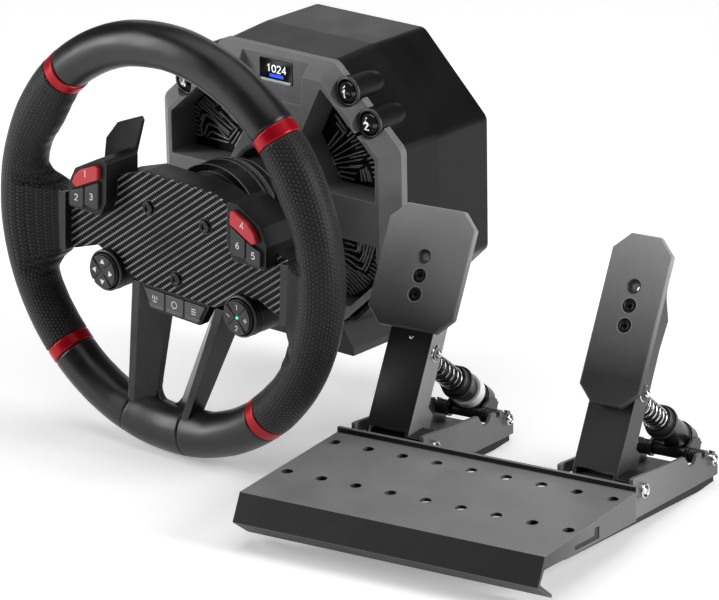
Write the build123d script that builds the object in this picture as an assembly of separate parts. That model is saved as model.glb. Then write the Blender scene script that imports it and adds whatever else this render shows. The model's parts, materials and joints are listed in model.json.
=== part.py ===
from build123d import *
import math
import os

# Racing wheel: direct-drive wheelbase, steering rim on a quick release, and a
# two-pedal set.  Millimetres.  +X right and +Y forward (away from the driver),
# +Z up.  The origin is the centre of the bolt pattern under the wheelbase foot.

# ---------------------------------------------------------------- dimensions
SHAFT_Z = 102.0            # steering shaft above the underside of the foot
WHEEL_TURN = 3.0           # resting steering angle, clockwise for the driver

BEZEL_EDGE_Y = -48.0       # outer edge of the bezel
BEZEL_FACE_Y = -58.0       # proud front face of the bezel
BEZEL_BACK_Y = -33.0       # back of the bezel pockets
BEZEL_OUTLINE = [(-49.8, 105.6), (49.8, 105.6), (107.2, 54.4), (107.2, -27.0),
                 (50.5, -79.0), (-50.5, -79.0), (-107.2, -27.0), (-107.2, 54.4)]
BEZEL_INSET = 12.0         # width of the sloping border
SHELL_FRONT_Y = -42.5
SHELL_CREASE_Y = -5.0
SHELL_BACK_Y = 49.0
SHELL_OUTLINE = [(-49.3, 108.0), (49.3, 108.0), (103.6, 54.2), (103.6, -39.0),
                 (61.0, -80.0), (-61.0, -80.0), (-103.6, -39.0), (-103.6, 54.2)]
SHELL_WALL = 3.0

BASE_BOLT_SPACING = 66.0   # square pattern of M6 holes in the foot
BASE_BOLT_R = 2.5          # tapping size of M6
BASE_BOLT_DEPTH = 14.0
FOOT_H = 22.0

POD_CENTRES = [(63.7, 88.4), (82.5, 69.7)]   # shoulder buttons, mirrored in X
POD_R = 9.9
BASE_BUTTON_R = 7.9

RIM_R = 150.0              # outside radius of the rim
RIM_TUBE_R = 15.5
GRIP_TUBE_R = 16.0
RIM_CORE_R = 6.0
RIM_Y = -161.7             # plane of the rim
BAND_TOP = 44.1            # angle of the upper bands from the top
BAND_BOTTOM = 138.1
BAND_HALF = 1.9

PLATE_Y = -154.0           # front face of the hub plate
PLATE_T = 2.5
HOUSING_BACK_Y = -131.0
HUB_BOLT_R = 29.5          # bolt circle radius
POD_XZ = (61.0, -38.5)     # thumb pads
THUMB_R = 14.5
PADDLE_PIN_X = 50.0

PEDAL_ORIGIN = (252.8, -236.6, -48.2)
PEDAL_YAW = 9.5
HEEL_W = 222.4
HEEL_D = 120.0
HEEL_TOP = 36.0
SHEET = 2.5
HOLE_PITCH = 25.8
HOLE_R = 4.0
HOLE_ROWS = (44.7, 103.2)
BRAKE_X = -77.2
THROTTLE_X = 77.2
RAIL_OFFSET = 2.0          # rail centre, to the right of its arm
RAIL_HALF = 27.5
RAIL_END = 244.0
RAIL_Z = 4.2               # underside of the rails, above the rubber strips
PIVOT = (134.0, 32.0)      # arm pivot, y and z in the pedal frame
PIVOT_R = 4.0
LEAN = 30.0                # arms lean back from the vertical
ARM_HALF = 16.0
ARM_FRONT = -10.0          # front face of the arm, in the arm's own upright frame
ARM_REAR = 8.0
STRUT_PIN = (163.8, 85.5)  # upper strut pin, y and z in the pedal frame
SEAT_PIN = (233.0, 18.7)   # lower strut pin
STRUT_TILT = 53.3          # strut axis from the vertical
PIN_R = 3.0
ROD_R = 3.5
RUNNING = 0.05             # radial running clearance
EYE_SLACK = 0.8            # radial slack of the upper eye
KEY_GAP = 0.4              # gap round each button

os.makedirs("parts", exist_ok=True)


# ------------------------------------------------------------------- helpers
def poly_y(pts, y0, y1, radius=0.0):
    """Outline of (x, z) points, extruded from y0 to y1."""
    plane = Plane(origin=(0, y1, 0), x_dir=(1, 0, 0), z_dir=(0, -1, 0))
    face = make_face(Polyline(*pts, close=True))
    if radius:
        face = fillet(face.vertices(), radius)
    return extrude(plane * face, amount=y1 - y0)


def poly_x(pts, x0, x1):
    """Outline of (y, z) points, extruded from x0 to x1."""
    plane = Plane(origin=(x0, 0, 0), x_dir=(0, 1, 0), z_dir=(1, 0, 0))
    return extrude(plane * make_face(Polyline(*pts, close=True)), amount=x1 - x0)


def block(x0, x1, y0, y1, z0, z1):
    return Pos((x0 + x1) / 2, (y0 + y1) / 2, (z0 + z1) / 2) * Box(x1 - x0, y1 - y0, z1 - z0)


def rod(p0, p1, r):
    a, b = Vector(*p0), Vector(*p1)
    return Plane(origin=a, z_dir=(b - a)) * Cylinder(
        r, (b - a).length, align=(Align.CENTER, Align.CENTER, Align.MIN))


def rod_y(x, z, y0, y1, r):
    return rod((x, y0, z), (x, y1, z), r)


def rod_x(y, z, x0, x1, r):
    return rod((x0, y, z), (x1, y, z), r)


def mirror_x(shape):
    return mirror(shape, about=Plane.YZ)


def outline_at(pts, y, radius, inset=0.0):
    face = make_face(Polyline(*pts, close=True))
    if inset:
        face = offset(face, -inset, kind=Kind.INTERSECTION)
    face = fillet(face.vertices(), radius)
    return Plane(origin=(0, y, 0), x_dir=(1, 0, 0), z_dir=(0, -1, 0)) * face


def ring_part(theta0, theta1, r, inner=0.0):
    """Part of the rim from theta0 to theta1, degrees clockwise from the top."""
    face = Circle(r)
    if inner:
        face = face - Circle(inner)
    face = Pos(RIM_R - RIM_TUBE_R, RIM_Y) * face
    return Rot(0, theta0 - 90, 0) * revolve(face, Axis.Y, theta1 - theta0)


def full_ring(r):
    return Pos(0, RIM_Y, 0) * Rot(90, 0, 0) * Torus(RIM_R - RIM_TUBE_R, r)


def base(shape):
    return Pos(0, 0, SHAFT_Z) * shape


def wheel(shape):
    return Pos(0, 0, SHAFT_Z) * Rot(0, WHEEL_TURN, 0) * shape


def pedals(shape):
    return Pos(*PEDAL_ORIGIN) * Rot(0, 0, PEDAL_YAW) * shape


def write(name, shape):
    solids = shape.solids() if not isinstance(shape, list) else [s for p in shape for s in p.solids()]
    out = solids[0] if len(solids) == 1 else Compound(children=list(solids))
    export_step(out, f"parts/{name}.step")
    print(name, len(solids))


# ---------------------------------------------------------------- wheelbase
UPPER_POCKET = [(45.0, 89.0), (92.2, 47.4), (92.2, 17.2), (42.0, 17.2), (24.0, 48.0)]
LOWER_POCKET = [(92.2, -13.0), (92.2, -36.6), (62.0, -64.2), (40.0, -64.2),
                (24.0, -42.0), (42.0, -13.0)]


def flip(pts):
    return [(-x, z) for x, z in pts]


POCKETS = [UPPER_POCKET, flip(UPPER_POCKET), LOWER_POCKET, flip(LOWER_POCKET)]

# Bezel: sloping border round a flat face, with four deep pockets and a nose bore.
bezel = loft([outline_at(BEZEL_OUTLINE, BEZEL_FACE_Y, 4.0, BEZEL_INSET),
              outline_at(BEZEL_OUTLINE, BEZEL_EDGE_Y, 9.0)])
bezel += poly_y(BEZEL_OUTLINE, BEZEL_EDGE_Y, -42.7, 9.0)
inner_outline = [(-46.5, 98.5), (46.5, 98.5), (96.4, 51.5), (96.4, -26.0),
                 (52.0, -72.0), (-52.0, -72.0), (-96.4, -26.0), (-96.4, 51.5)]
bezel += poly_y(inner_outline, -42.8, BEZEL_BACK_Y, 6.0)
for pocket in POCKETS:
    bezel -= poly_y(pocket, -60, -30, 1.5)
bezel -= rod_y(0, 3, -60, -30, 36.0)
bezel -= poly_y([(-31, 112), (-27.5, 73.5), (27.5, 73.5), (31, 112)], -60, -51.0)
bezel -= block(-14.9, 14.9, -52, -49.9, 82.6, 99.2)
for sx in (-1, 1):
    for px, pz in POD_CENTRES:
        bezel -= rod_y(sx * px, pz, -62, -30, POD_R + 0.5)
write("front_bezel", base(bezel))

write("display_lens", base(block(-14.6, 14.6, -51.5, -50.0, 82.9, 98.9)))

# Vent grilles close the four pockets from behind.
grilles = []
for pocket in POCKETS:
    panel = poly_y(pocket, BEZEL_BACK_Y + 0.05, BEZEL_BACK_Y + 2.5, 1.5)
    cx = sum(p[0] for p in pocket) / len(pocket)
    cz = sum(p[1] for p in pocket) / len(pocket)
    for k in (-2, -1, 0, 1, 2):
        panel -= block(cx - 12, cx + 12, -34, -30, cz + 5 * k - 0.8, cz + 5 * k + 0.8)
    grilles.append(base(panel))
write("vent_grilles", grilles)

# Rear shell: flares from the bezel to a crease, then runs straight back.
shell = loft([outline_at(SHELL_OUTLINE, SHELL_FRONT_Y, 8.0, 2.6),
              outline_at(SHELL_OUTLINE, SHELL_CREASE_Y, 8.0)])
shell += poly_y(SHELL_OUTLINE, SHELL_CREASE_Y, SHELL_BACK_Y, 8.0)
shell = chamfer(shell.faces().sort_by(Axis.Y)[-1].edges(), 2.5)
for sx in (-1, 1):
    for px, pz in POD_CENTRES:
        shell += rod_y(sx * px, pz, -51, -31, POD_R)
        fairing = make_face(Polyline((0, 0), (POD_R, 0), (9.5, 3), (8.7, 6.5), (7.2, 10), (5.0, 13), (2.6, 15.2),
                                     (0, 16), close=True))
        shell += Plane(origin=(sx * px, -31, pz), x_dir=(1, 0, 0), z_dir=(0, 0, 1)) * revolve(fairing, Axis.Y)
cavity = loft([outline_at(SHELL_OUTLINE, SHELL_FRONT_Y - 0.5, 5.0, 2.6 + SHELL_WALL),
               outline_at(SHELL_OUTLINE, SHELL_CREASE_Y, 5.0, SHELL_WALL)])
cavity += poly_y([(x * 0.9705, z - (3 if z > 60 else -3 if z < -60 else 0)) for x, z in SHELL_OUTLINE],
                 SHELL_CREASE_Y, SHELL_BACK_Y + 1, 5.0)
pod_walls = None
for sx in (-1, 1):
    for px, pz in POD_CENTRES:
        w = rod_y(sx * px, pz, -42.4, -30, POD_R)
        pod_walls = w if pod_walls is None else pod_walls + w
shell -= cavity - pod_walls
for sx in (-1, 1):
    for px, pz in POD_CENTRES:
        shell -= rod_y(sx * px, pz, -52, -36, BASE_BUTTON_R + KEY_GAP)
write("rear_shell", base(shell))

for side, sx in (("left", -1), ("right", 1)):
    for place, (px, pz) in zip(("upper", "lower"), POD_CENTRES):
        cap = rod_y(sx * px, pz, -51.0, -39.0, BASE_BUTTON_R)
        dome = Plane(origin=(sx * px, -51.0, pz), z_dir=(0, -1, 0)) * Cone(
            BASE_BUTTON_R, 4.6, 2.6, align=(Align.CENTER, Align.CENTER, Align.MIN))
        write(f"base_button_{side}_{place}", base(cap + dome))

# Rear cap: closes the shell, with the sockets on it.
cap_outline = [(x * 0.9675, z - (3.3 if z > 60 else -3.3 if z < -60 else 0)) for x, z in SHELL_OUTLINE]
rear_cap = poly_y(cap_outline, 44.0, 47.6, 4.7)
rear_cap += block(-50, 50, 36.0, 44.1, -66, -44)
for sx0, sx1, sz0, sz1 in ((-44, -32, -60.5, -50.5), (-20, -8, -60.5, -50.5), (30, 39, -60, -51)):
    rear_cap -= block(sx0, sx1, 38.0, 50, sz0, sz1)
rear_cap -= block(6, 15.2, 39.0, 50, -57.2, -53.8)
for k in range(7):
    rear_cap -= block(-45, 45, 43, 49, 20 + 8 * k - 1.2, 20 + 8 * k + 1.2)
write("rear_cap", base(rear_cap))

# Foot: short pedestal with the threaded mounting holes.
foot_section = [(-50.0, FOOT_H), (50.0, FOOT_H), (60.0, 5.0), (60.0, 0.0), (-60.0, 0.0), (-60.0, 5.0)]
foot = poly_y(foot_section, -46.0, 44.0)
h = BASE_BOLT_SPACING / 2
for sx in (-1, 1):
    for sy in (-1, 1):
        foot -= rod((sx * h, sy * h, -1), (sx * h, sy * h, BASE_BOLT_DEPTH), BASE_BOLT_R)
foot -= block(-22, 22, -47, 45, -1, 3)
write("base_foot", foot)

# Direct-drive motor inside the shell.
motor = rod_y(0, 0, -30, 32, 50) - rod_y(0, 0, -20, 22, 46) - rod_y(0, 0, -31, 33, 22)
motor += block(-30, 30, -24, 26, -74.5, -48.5) - rod_y(0, 0, -25, 27, 49.5)
for k in range(24):
    if 8 <= k <= 16:
        continue
    fin = Rot(0, 15 * k, 0) * block(-1.2, 1.2, -22, 24, 49.5, 54.0)
    motor += fin
write("motor_housing", base(motor))
stator = rod_y(0, 0, -19.5, 21.5, 45.95) - rod_y(0, 0, -20, 22, 30)
for k in range(12):
    stator -= Rot(0, 30 * k, 0) * block(-2, 2, -20, 22, 29, 39)
write("motor_stator", base(stator))
bearings = [base(rod_y(0, 0, y0, y0 + 8, 21.95) - rod_y(0, 0, y0 - 1, y0 + 9, 12 + RUNNING))
            for y0 in (-29.0, 23.0)]
write("shaft_bearings", bearings)
board = block(-58, 58, 34.5, 36.1, -30, 60)
for x0, x1, z0, z1, t in ((-50, -22, 30, 54, 6), (-12, 12, 20, 44, 2.4), (24, 50, -20, 12, 7), (-46, -30, -22, 6, 5)):
    board += block(x0, x1, 36.0, 36.1 + t, z0, z1)
write("control_board", base(board))

# ---------------------------------------------------------------- steering wheel
shaft = rod_y(0, 0, -60, 33.5, 12.0) + rod_y(0, 0, -85.5, -60, 33.0) + rod_y(0, 0, -118, -85.5, 19.9)
write("wheel_shaft", wheel(shaft))
rotor = rod_y(0, 0, -18, 20, 28.9) - rod_y(0, 0, -19, 21, 12.0)
write("motor_rotor", wheel(rotor))

quick = rod_y(0, 0, -127.0, -116, 36) + rod_y(0, 0, -116, -95, 41) + rod_y(0, 0, -95, -85.6, 38)
quick -= rod_y(0, 0, -118.2, -85, 20.0)
for y0 in (-97.4, -101.8):
    quick -= rod_y(0, 0, y0 - 0.6, y0 + 0.6, 42) - rod_y(0, 0, y0 - 1, y0 + 1, 40.3)
bolt_points = [(HUB_BOLT_R * math.sin(math.radians(a)), HUB_BOLT_R * math.cos(math.radians(a)))
               for a in (-60, 60, 180)]
write("quick_release", wheel(quick))

HUB_OUTLINE = [(-97.0, 9.0), (-60.0, 29.0), (-31.0, 39.0), (31.0, 39.0), (60.0, 29.0), (97.0, 9.0),
               (97.0, -33.0), (72.0, -24.0), (34.0, -40.4), (-34.0, -40.4), (-72.0, -24.0), (-97.0, -33.0)]
BOX_LEFT = [(-88.5, 3.0), (-89.0, 19.5), (-83.0, 31.5), (-63.0, 42.5), (-54.5, 42.5), (-54.5, 14.0), (-60.0, 3.0)]


def box_region(y0, y1, grow=0.0):
    pts = BOX_LEFT
    b = poly_y(pts, y0, y1, 2.5)
    if grow:
        face = offset(make_face(Polyline(*pts, close=True)), grow, kind=Kind.INTERSECTION)
        plane = Plane(origin=(0, y1, 0), x_dir=(1, 0, 0), z_dir=(0, -1, 0))
        b = extrude(plane * face, amount=y1 - y0)
    return b


hub_cut = box_region(-170, -120, 0.15)
hub_cut = hub_cut + mirror_x(hub_cut)
for sx in (-1, 1):
    hub_cut += rod_y(sx * POD_XZ[0], POD_XZ[1], -170, -120, THUMB_R + 0.15)

plate = poly_y(HUB_OUTLINE, PLATE_Y, PLATE_Y + PLATE_T, 3.0) - hub_cut
for bx_, bz_ in bolt_points:
    plate -= rod_y(bx_, bz_, -160, -150, 4.5)
write("hub_plate", wheel(plate))

housing = poly_y(HUB_OUTLINE, PLATE_Y + PLATE_T, HOUSING_BACK_Y, 3.0) - hub_cut
housing -= block(-21, 21, -152, -147.5, -20.5, 20.5)
for bx_, bz_ in bolt_points:
    housing -= rod_y(bx_, bz_, -160, -130, 2.6)
for sx in (-1, 1):
    for z0, z1 in ((14.6, 19.0), (-11.0, -6.6)):
        lug = block(sx * PADDLE_PIN_X - 4, sx * PADDLE_PIN_X + 4, -131.1, -122.0, z0, z1)
        lug -= rod((sx * PADDLE_PIN_X, -126.5, z0 - 1), (sx * PADDLE_PIN_X, -126.5, z1 + 1), 1.5)
        housing += lug
write("hub_housing", wheel(housing))
write("wheel_board", wheel(block(-19.5, 19.5, -150.6, -149.0, -19.5, 19.5)))

bolts = []
for bx_, bz_ in bolt_points:
    b = rod_y(bx_, bz_, -154.8, -151.55, 4.2) + rod_y(bx_, bz_, -151.6, -127.2, 2.5)
    b -= Plane(origin=(bx_, -155.0, bz_), z_dir=(0, 1, 0)) * extrude(RegularPolygon(2.2, 6), 2.4)
    bolts.append(wheel(b))
write("hub_bolts", bolts)

# Frame: back plate, two side arms and the V of two lower spokes.
torus_clear = full_ring(GRIP_TUBE_R + 0.1)
frame = poly_y([(-38, 26), (38, 26), (43, -20), (46, -48), (-46, -48), (-43, -20)], -131.0 + 0.05, -127.05)
for bx_, bz_ in bolt_points:
    frame -= rod_y(bx_, bz_, -135, -125, 2.55)
# Each spoke is a wedge: a narrow flat ridge on the outside and a face that falls away inwards.
SPOKE_TOP = [(41.5, -152.7), (34.9, -152.7), (21.3, -135.3), (21.3, -128.8), (23.0, -127.1), (41.5, -127.1)]
SPOKE_LOW = [(25.9, -173.4), (20.6, -173.4), (9.3, -165.2), (9.3, -160.5), (10.4, -159.6), (25.9, -159.6)]
keys_clear = poly_y([(-31.0, -39.0), (31.0, -39.0), (22.5, -57.0), (-22.5, -57.0)], -154.8, -145.7)
for sx in (-1, 1):
    spoke = loft([Plane(origin=(0, 0, z)) * make_face(Polyline(*[(sx * x, y) for x, y in pts], close=True))
                  for z, pts in ((-41.2, SPOKE_TOP), (-126.0, SPOKE_LOW))])
    frame += spoke - keys_clear
    arm = block(min(sx * 97.2, sx * 121), max(sx * 97.2, sx * 121), -160.0, -140.0, -33.0, 9.0)
    back = block(min(sx * 97.2, sx * 112), max(sx * 97.2, sx * 112), -144.0, -131.0, -30.0, 6.0)
    link = block(min(sx * 38, sx * 112), max(sx * 38, sx * 112), -130.95, -127.05, -20.0, -12.0)
    web = block(min(sx * 99, sx * 112), max(sx * 99, sx * 112), -131.5, -127.05, -20.0, -12.0)
    frame += arm + back + link + web
frame += block(-11.5, 11.5, -164.6, -159.9, -124.0, -108.5) - rod_y(0, -106.9, -170, -150, 11.0)
frame -= torus_clear
write("spoke_frame", wheel(frame))

write("rim_core", wheel(full_ring(RIM_CORE_R)))
A, B, H = BAND_TOP, BAND_BOTTOM, BAND_HALF
write("smooth_grips", [wheel(ring_part(-A + H, A - H, RIM_TUBE_R, RIM_CORE_R)),
                       wheel(ring_part(B + H, 360 - B - H, RIM_TUBE_R, RIM_CORE_R))])
write("side_grips", [wheel(ring_part(A + H, B - H, GRIP_TUBE_R, RIM_CORE_R)),
                     wheel(ring_part(360 - B + H, 360 - A - H, GRIP_TUBE_R, RIM_CORE_R))])
write("rim_bands", [wheel(ring_part(a - H, a + H, GRIP_TUBE_R, RIM_CORE_R)) for a in (-A, A, B, -B)])

# Switch boxes on the plate's shoulders, and the frame of the centre keys.
RED = [(-83.0, 21.7), (-80.5, 28.0), (-75.0, 33.2), (-62.4, 38.8), (-59.8, 37.6), (-59.8, 29.2), (-79.0, 19.7)]
KEY_OUT = [(-85.8, 5.2), (-85.8, 15.9), (-79.2, 17.9), (-73.4, 20.6), (-73.4, 6.6), (-75.0, 5.2)]
KEY_IN = [(-72.4, 8.0), (-72.4, 21.1), (-59.8, 27.3), (-59.8, 9.2), (-61.2, 7.4)]
CENTRE = {"left": [(-27.6, -42.2), (-9.1, -42.2), (-9.1, -54.8), (-21.0, -54.8)],
          "middle": [(-8.2, -42.2), (8.2, -42.2), (8.2, -54.8), (-8.2, -54.8)],
          "right": [(9.1, -42.2), (27.6, -42.2), (21.0, -54.8), (9.1, -54.8)]}
KEY_CLEAR = KEY_GAP - 0.05


def key_prism(pts, y0, y1, grow=0.0, radius=0.8):
    face = make_face(Polyline(*pts, close=True))
    if grow:
        face = offset(face, grow, kind=Kind.INTERSECTION)
    else:
        face = fillet(face.vertices(), radius)
    plane = Plane(origin=(0, y1, 0), x_dir=(1, 0, 0), z_dir=(0, -1, 0))
    return extrude(plane * face, amount=y1 - y0)


switch_box = box_region(-165.0, -134.0)
for pts in (RED, KEY_OUT, KEY_IN):
    switch_box -= key_prism(pts, -166, -158.5, KEY_CLEAR)
centre_frame = poly_y([(-30.5, -40.6), (30.5, -40.6), (22.2, -56.6), (-22.2, -56.6)], -154.5, -146.0)
for pts in CENTRE.values():
    centre_frame -= key_prism(pts, -155, -149.4, KEY_CLEAR)
write("switch_boxes", [wheel(switch_box), wheel(mirror_x(switch_box)), wheel(centre_frame)])

RED_FRONT, KEY_FRONT = -168.6, -167.4
for side in ("left", "right"):
    for name, pts, front in (("trigger_button", RED, RED_FRONT), ("key_outer", KEY_OUT, KEY_FRONT),
                             ("key_inner", KEY_IN, KEY_FRONT)):
        k = key_prism(pts, front, -160.2)
        k = chamfer(k.faces().sort_by(Axis.Y)[0].edges(), 0.5)
        write(f"{name}_{side}", wheel(k if side == "left" else mirror_x(k)))
for name, pts in CENTRE.items():
    k = key_prism(pts, -156.0, -150.8, radius=0.5)
    k = chamfer(k.faces().sort_by(Axis.Y)[0].edges(), 0.4)
    write(f"centre_key_{name}", wheel(k))

# Thumb pads: a cup, a gimbal with a cross pin, and a cap that rocks on it.
GIMBAL_Y = -150.0
pods = []
for sx in (-1, 1):
    cx, cz = sx * POD_XZ[0], POD_XZ[1]
    cup = rod_y(cx, cz, -158.0, -132.0, THUMB_R) - rod_y(cx, cz, -159, -145.0, 13.1)
    lugs = block(cx - 13.0, cx - 8.5, -153.5, -145.0, cz - 2.6, cz + 2.6)
    lugs += block(cx + 8.5, cx + 13.0, -153.5, -145.0, cz - 2.6, cz + 2.6)
    cup += lugs & rod_y(cx, cz, -159, -144.9, 13.3)
    cup -= rod_x(GIMBAL_Y, cz, cx - 12.0, cx + 12.0, 1.2 + RUNNING)
    pods.append(wheel(cup))
    side = "left" if sx < 0 else "right"
    gimbal = rod_x(GIMBAL_Y, cz, cx - 11.6, cx + 11.6, 1.2) + block(
        cx - 2.8, cx + 2.8, GIMBAL_Y - 2.4, GIMBAL_Y + 2.4, cz - 3.2, cz + 3.2)
    gimbal -= rod((cx, GIMBAL_Y, cz - 4), (cx, GIMBAL_Y, cz + 4), 1.2 + RUNNING)
    write(f"thumb_gimbal_{side}", wheel(gimbal))
    cap = rod_y(cx, cz, -161.0, -156.0, 12.2)
    cap = chamfer(cap.faces().sort_by(Axis.Y)[0].edges(), 1.2)
    for sz in (-1, 1):
        cap += block(cx - 2.0, cx + 2.0, -156.1, -148.2, cz + sz * 5.0 - 1.3, cz + sz * 5.0 + 1.3)
    cap += rod((cx, GIMBAL_Y, cz - 6.2), (cx, GIMBAL_Y, cz + 6.2), 1.2)
    write(f"thumb_pad_{side}", wheel(cap))
write("thumb_pods", pods)

# Shift paddles behind the hub, each on an upright pin.
PADDLE = [(-92.0, 18.0), (-89.5, 42.0), (-79.0, 55.6), (-58.6, 64.7), (-56.6, 62.0), (-65.5, 28.0),
          (-60.0, 12.6), (-49.5, 12.6), (-49.5, -4.6), (-78.0, -4.6)]
blade = poly_y(PADDLE, -128.0, -125.0, 1.2)
blade += rod((-PADDLE_PIN_X, -126.5, -6.2), (-PADDLE_PIN_X, -126.5, 14.2), 3.9)
blade -= rod((-PADDLE_PIN_X, -126.5, -8), (-PADDLE_PIN_X, -126.5, 16), 1.5 + RUNNING)
write("paddle_left", wheel(blade))
write("paddle_right", wheel(mirror_x(blade)))
write("paddle_pins", [wheel(rod((sx * PADDLE_PIN_X, -126.5, -11.0), (sx * PADDLE_PIN_X, -126.5, 19.0), 1.5))
                      for sx in (-1, 1)])

# ---------------------------------------------------------------- pedal set
hw = HEEL_W / 2
plate_top = block(-hw, hw, 0, HEEL_D, HEEL_TOP - SHEET, HEEL_TOP)
lip = poly_x([(0.0, HEEL_TOP), (2.6, HEEL_TOP - SHEET), (-6.6, 19.6), (8.4, 7.8), (8.4, 5.4), (-9.5, 18.4)], -hw, hw)
flange = block(-hw, hw, HEEL_D - 0.1, HEEL_D + SHEET, HEEL_TOP - SHEET, HEEL_TOP + 3.5)
skirt_pts = [(1.6, 34.0), (-2.0, 27.6), (HEEL_D, 16.2), (HEEL_D, 34.0)]
heel = plate_top + lip + flange
for x0 in (-hw, hw - SHEET):
    skirt = poly_x(skirt_pts, x0, x0 + SHEET)
    skirt -= poly_x([(38.0, 25.8), (38.0, 29.4), (63.6, 26.8), (64.0, 32.2), (70.4, 31.0), (70.4, 22.6)], x0 - 1, x0 + 4)
    heel += skirt
for row in HOLE_ROWS:
    for k in range(9):
        heel -= rod(((k - 4) * HOLE_PITCH, row, 28), ((k - 4) * HOLE_PITCH, row, 40), HOLE_R)
write("heel_plate", pedals(heel))

rails, feet, bolts_p, sensors = [], [], [], []
RAIL_RISE = 0.085          # slope of the underside, rising towards the heel


def under(y, z):
    """Height of a point of the sloping underside."""
    return z + RAIL_RISE * (RAIL_END - y)


wall_pts = [(20.0, under(20.0, RAIL_Z)), (RAIL_END, RAIL_Z), (RAIL_END, 14.0), (239.5, 22.0), (236.0, 23.5), (236.0, 18.7), (230.0, 18.7),
            (230.0, 25.5), (225.5, 26.2), (225.5, 22.6), (220.5, 22.6), (220.5, 27.0), (214.5, 27.6), (210.0, 22.8),
            (203.5, 22.8), (196.0, 32.6), (161.0, 37.6), (140.0, 40.6), (127.5, 42.4), (124.2, 42.4), (124.2, 33.2), (20.0, 33.2)]
for arm_x in (BRAKE_X, THROTTLE_X):
    rc = arm_x + RAIL_OFFSET
    rail = poly_x([(20.0, under(20.0, RAIL_Z)), (RAIL_END, RAIL_Z), (RAIL_END, RAIL_Z + SHEET),
                   (20.0, under(20.0, RAIL_Z + SHEET))], rc - RAIL_HALF, rc + RAIL_HALF)
    for x0 in (rc - RAIL_HALF, rc + RAIL_HALF - SHEET):
        rail += poly_x(wall_pts, x0, x0 + SHEET)
    rail -= rod_x(PIVOT[0], PIVOT[1], rc - 30, rc + 30, PIVOT_R)
    rail -= rod_x(SEAT_PIN[0], SEAT_PIN[1], rc - 30, rc + 30, PIN_R)
    rails.append(pedals(rail))
    strip = [(36.0, under(36.0, RAIL_Z)), (36.0, under(36.0, RAIL_Z) - 2.6), (220.0, 0.0), (241.0, 0.0), (241.0, under(241.0, RAIL_Z))]
    for x0 in (rc - 26, rc + 12):
        feet.append(pedals(poly_x(strip, x0, x0 + 14)))
    h0 = RAIL_HALF
    pivot = rod_x(PIVOT[0], PIVOT[1], rc - h0, rc + h0, PIVOT_R)
    pivot += rod_x(PIVOT[0], PIVOT[1], rc + h0, rc + h0 + 3.6, 4.9) + rod_x(PIVOT[0], PIVOT[1], rc - h0 - 3.0, rc - h0, 4.9)
    bolts_p.append(pedals(pivot))
    pin = rod_x(SEAT_PIN[0], SEAT_PIN[1], rc - h0, rc + h0, PIN_R)
    pin += rod_x(SEAT_PIN[0], SEAT_PIN[1], rc + h0, rc + h0 + 3.5, 3.9) + rod_x(SEAT_PIN[0], SEAT_PIN[1], rc - h0 - 2.5, rc - h0, 3.9)
    bolts_p.append(pedals(pin))
    sensor = block(arm_x + ARM_HALF + 1.0, rc + RAIL_HALF - SHEET - 0.1, 124.5, 144.5, 20.0, 40.0)
    sensor -= rod_x(PIVOT[0], PIVOT[1], rc - 30, rc + 30, PIVOT_R)
    sensors.append(pedals(sensor))
write("pedal_rails", rails)
write("rail_feet", feet)
write("pedal_bolts", bolts_p)
write("pedal_sensors", sensors)


def chamfered(cx, half, z0, z1, c, y0, y1):
    return poly_y([(cx - half, z0 + c), (cx - half + c, z0), (cx + half - c, z0), (cx + half, z0 + c),
                   (cx + half, z1 - c), (cx + half - c, z1), (cx - half + c, z1), (cx - half, z1 - c)], y0, y1)


def arm_place(x, shape):
    return pedals(Pos(x, PIVOT[0], PIVOT[1]) * Rot(-LEAN, 0, 0) * shape)


# Upper pin seen from the pivot, in the arm's own upright frame.
dy, dz = STRUT_PIN[0] - PIVOT[0], STRUT_PIN[1] - PIVOT[1]
lean = math.radians(LEAN)
PIN_Y = dy * math.cos(lean) - dz * math.sin(lean)
PIN_Z = dy * math.sin(lean) + dz * math.cos(lean)
# The strut's axis runs above its lower pin; both seen in the strut's own frame.
tilt = math.radians(STRUT_TILT)
sy, sz = STRUT_PIN[0] - SEAT_PIN[0], STRUT_PIN[1] - SEAT_PIN[1]
AXIS_Y = sy * math.cos(tilt) + sz * math.sin(tilt)
STRUT_LEN = -sy * math.sin(tilt) + sz * math.cos(tilt)
print("strut length", STRUT_LEN, "axis offset", AXIS_Y, "pin in arm", PIN_Y, PIN_Z)

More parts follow.
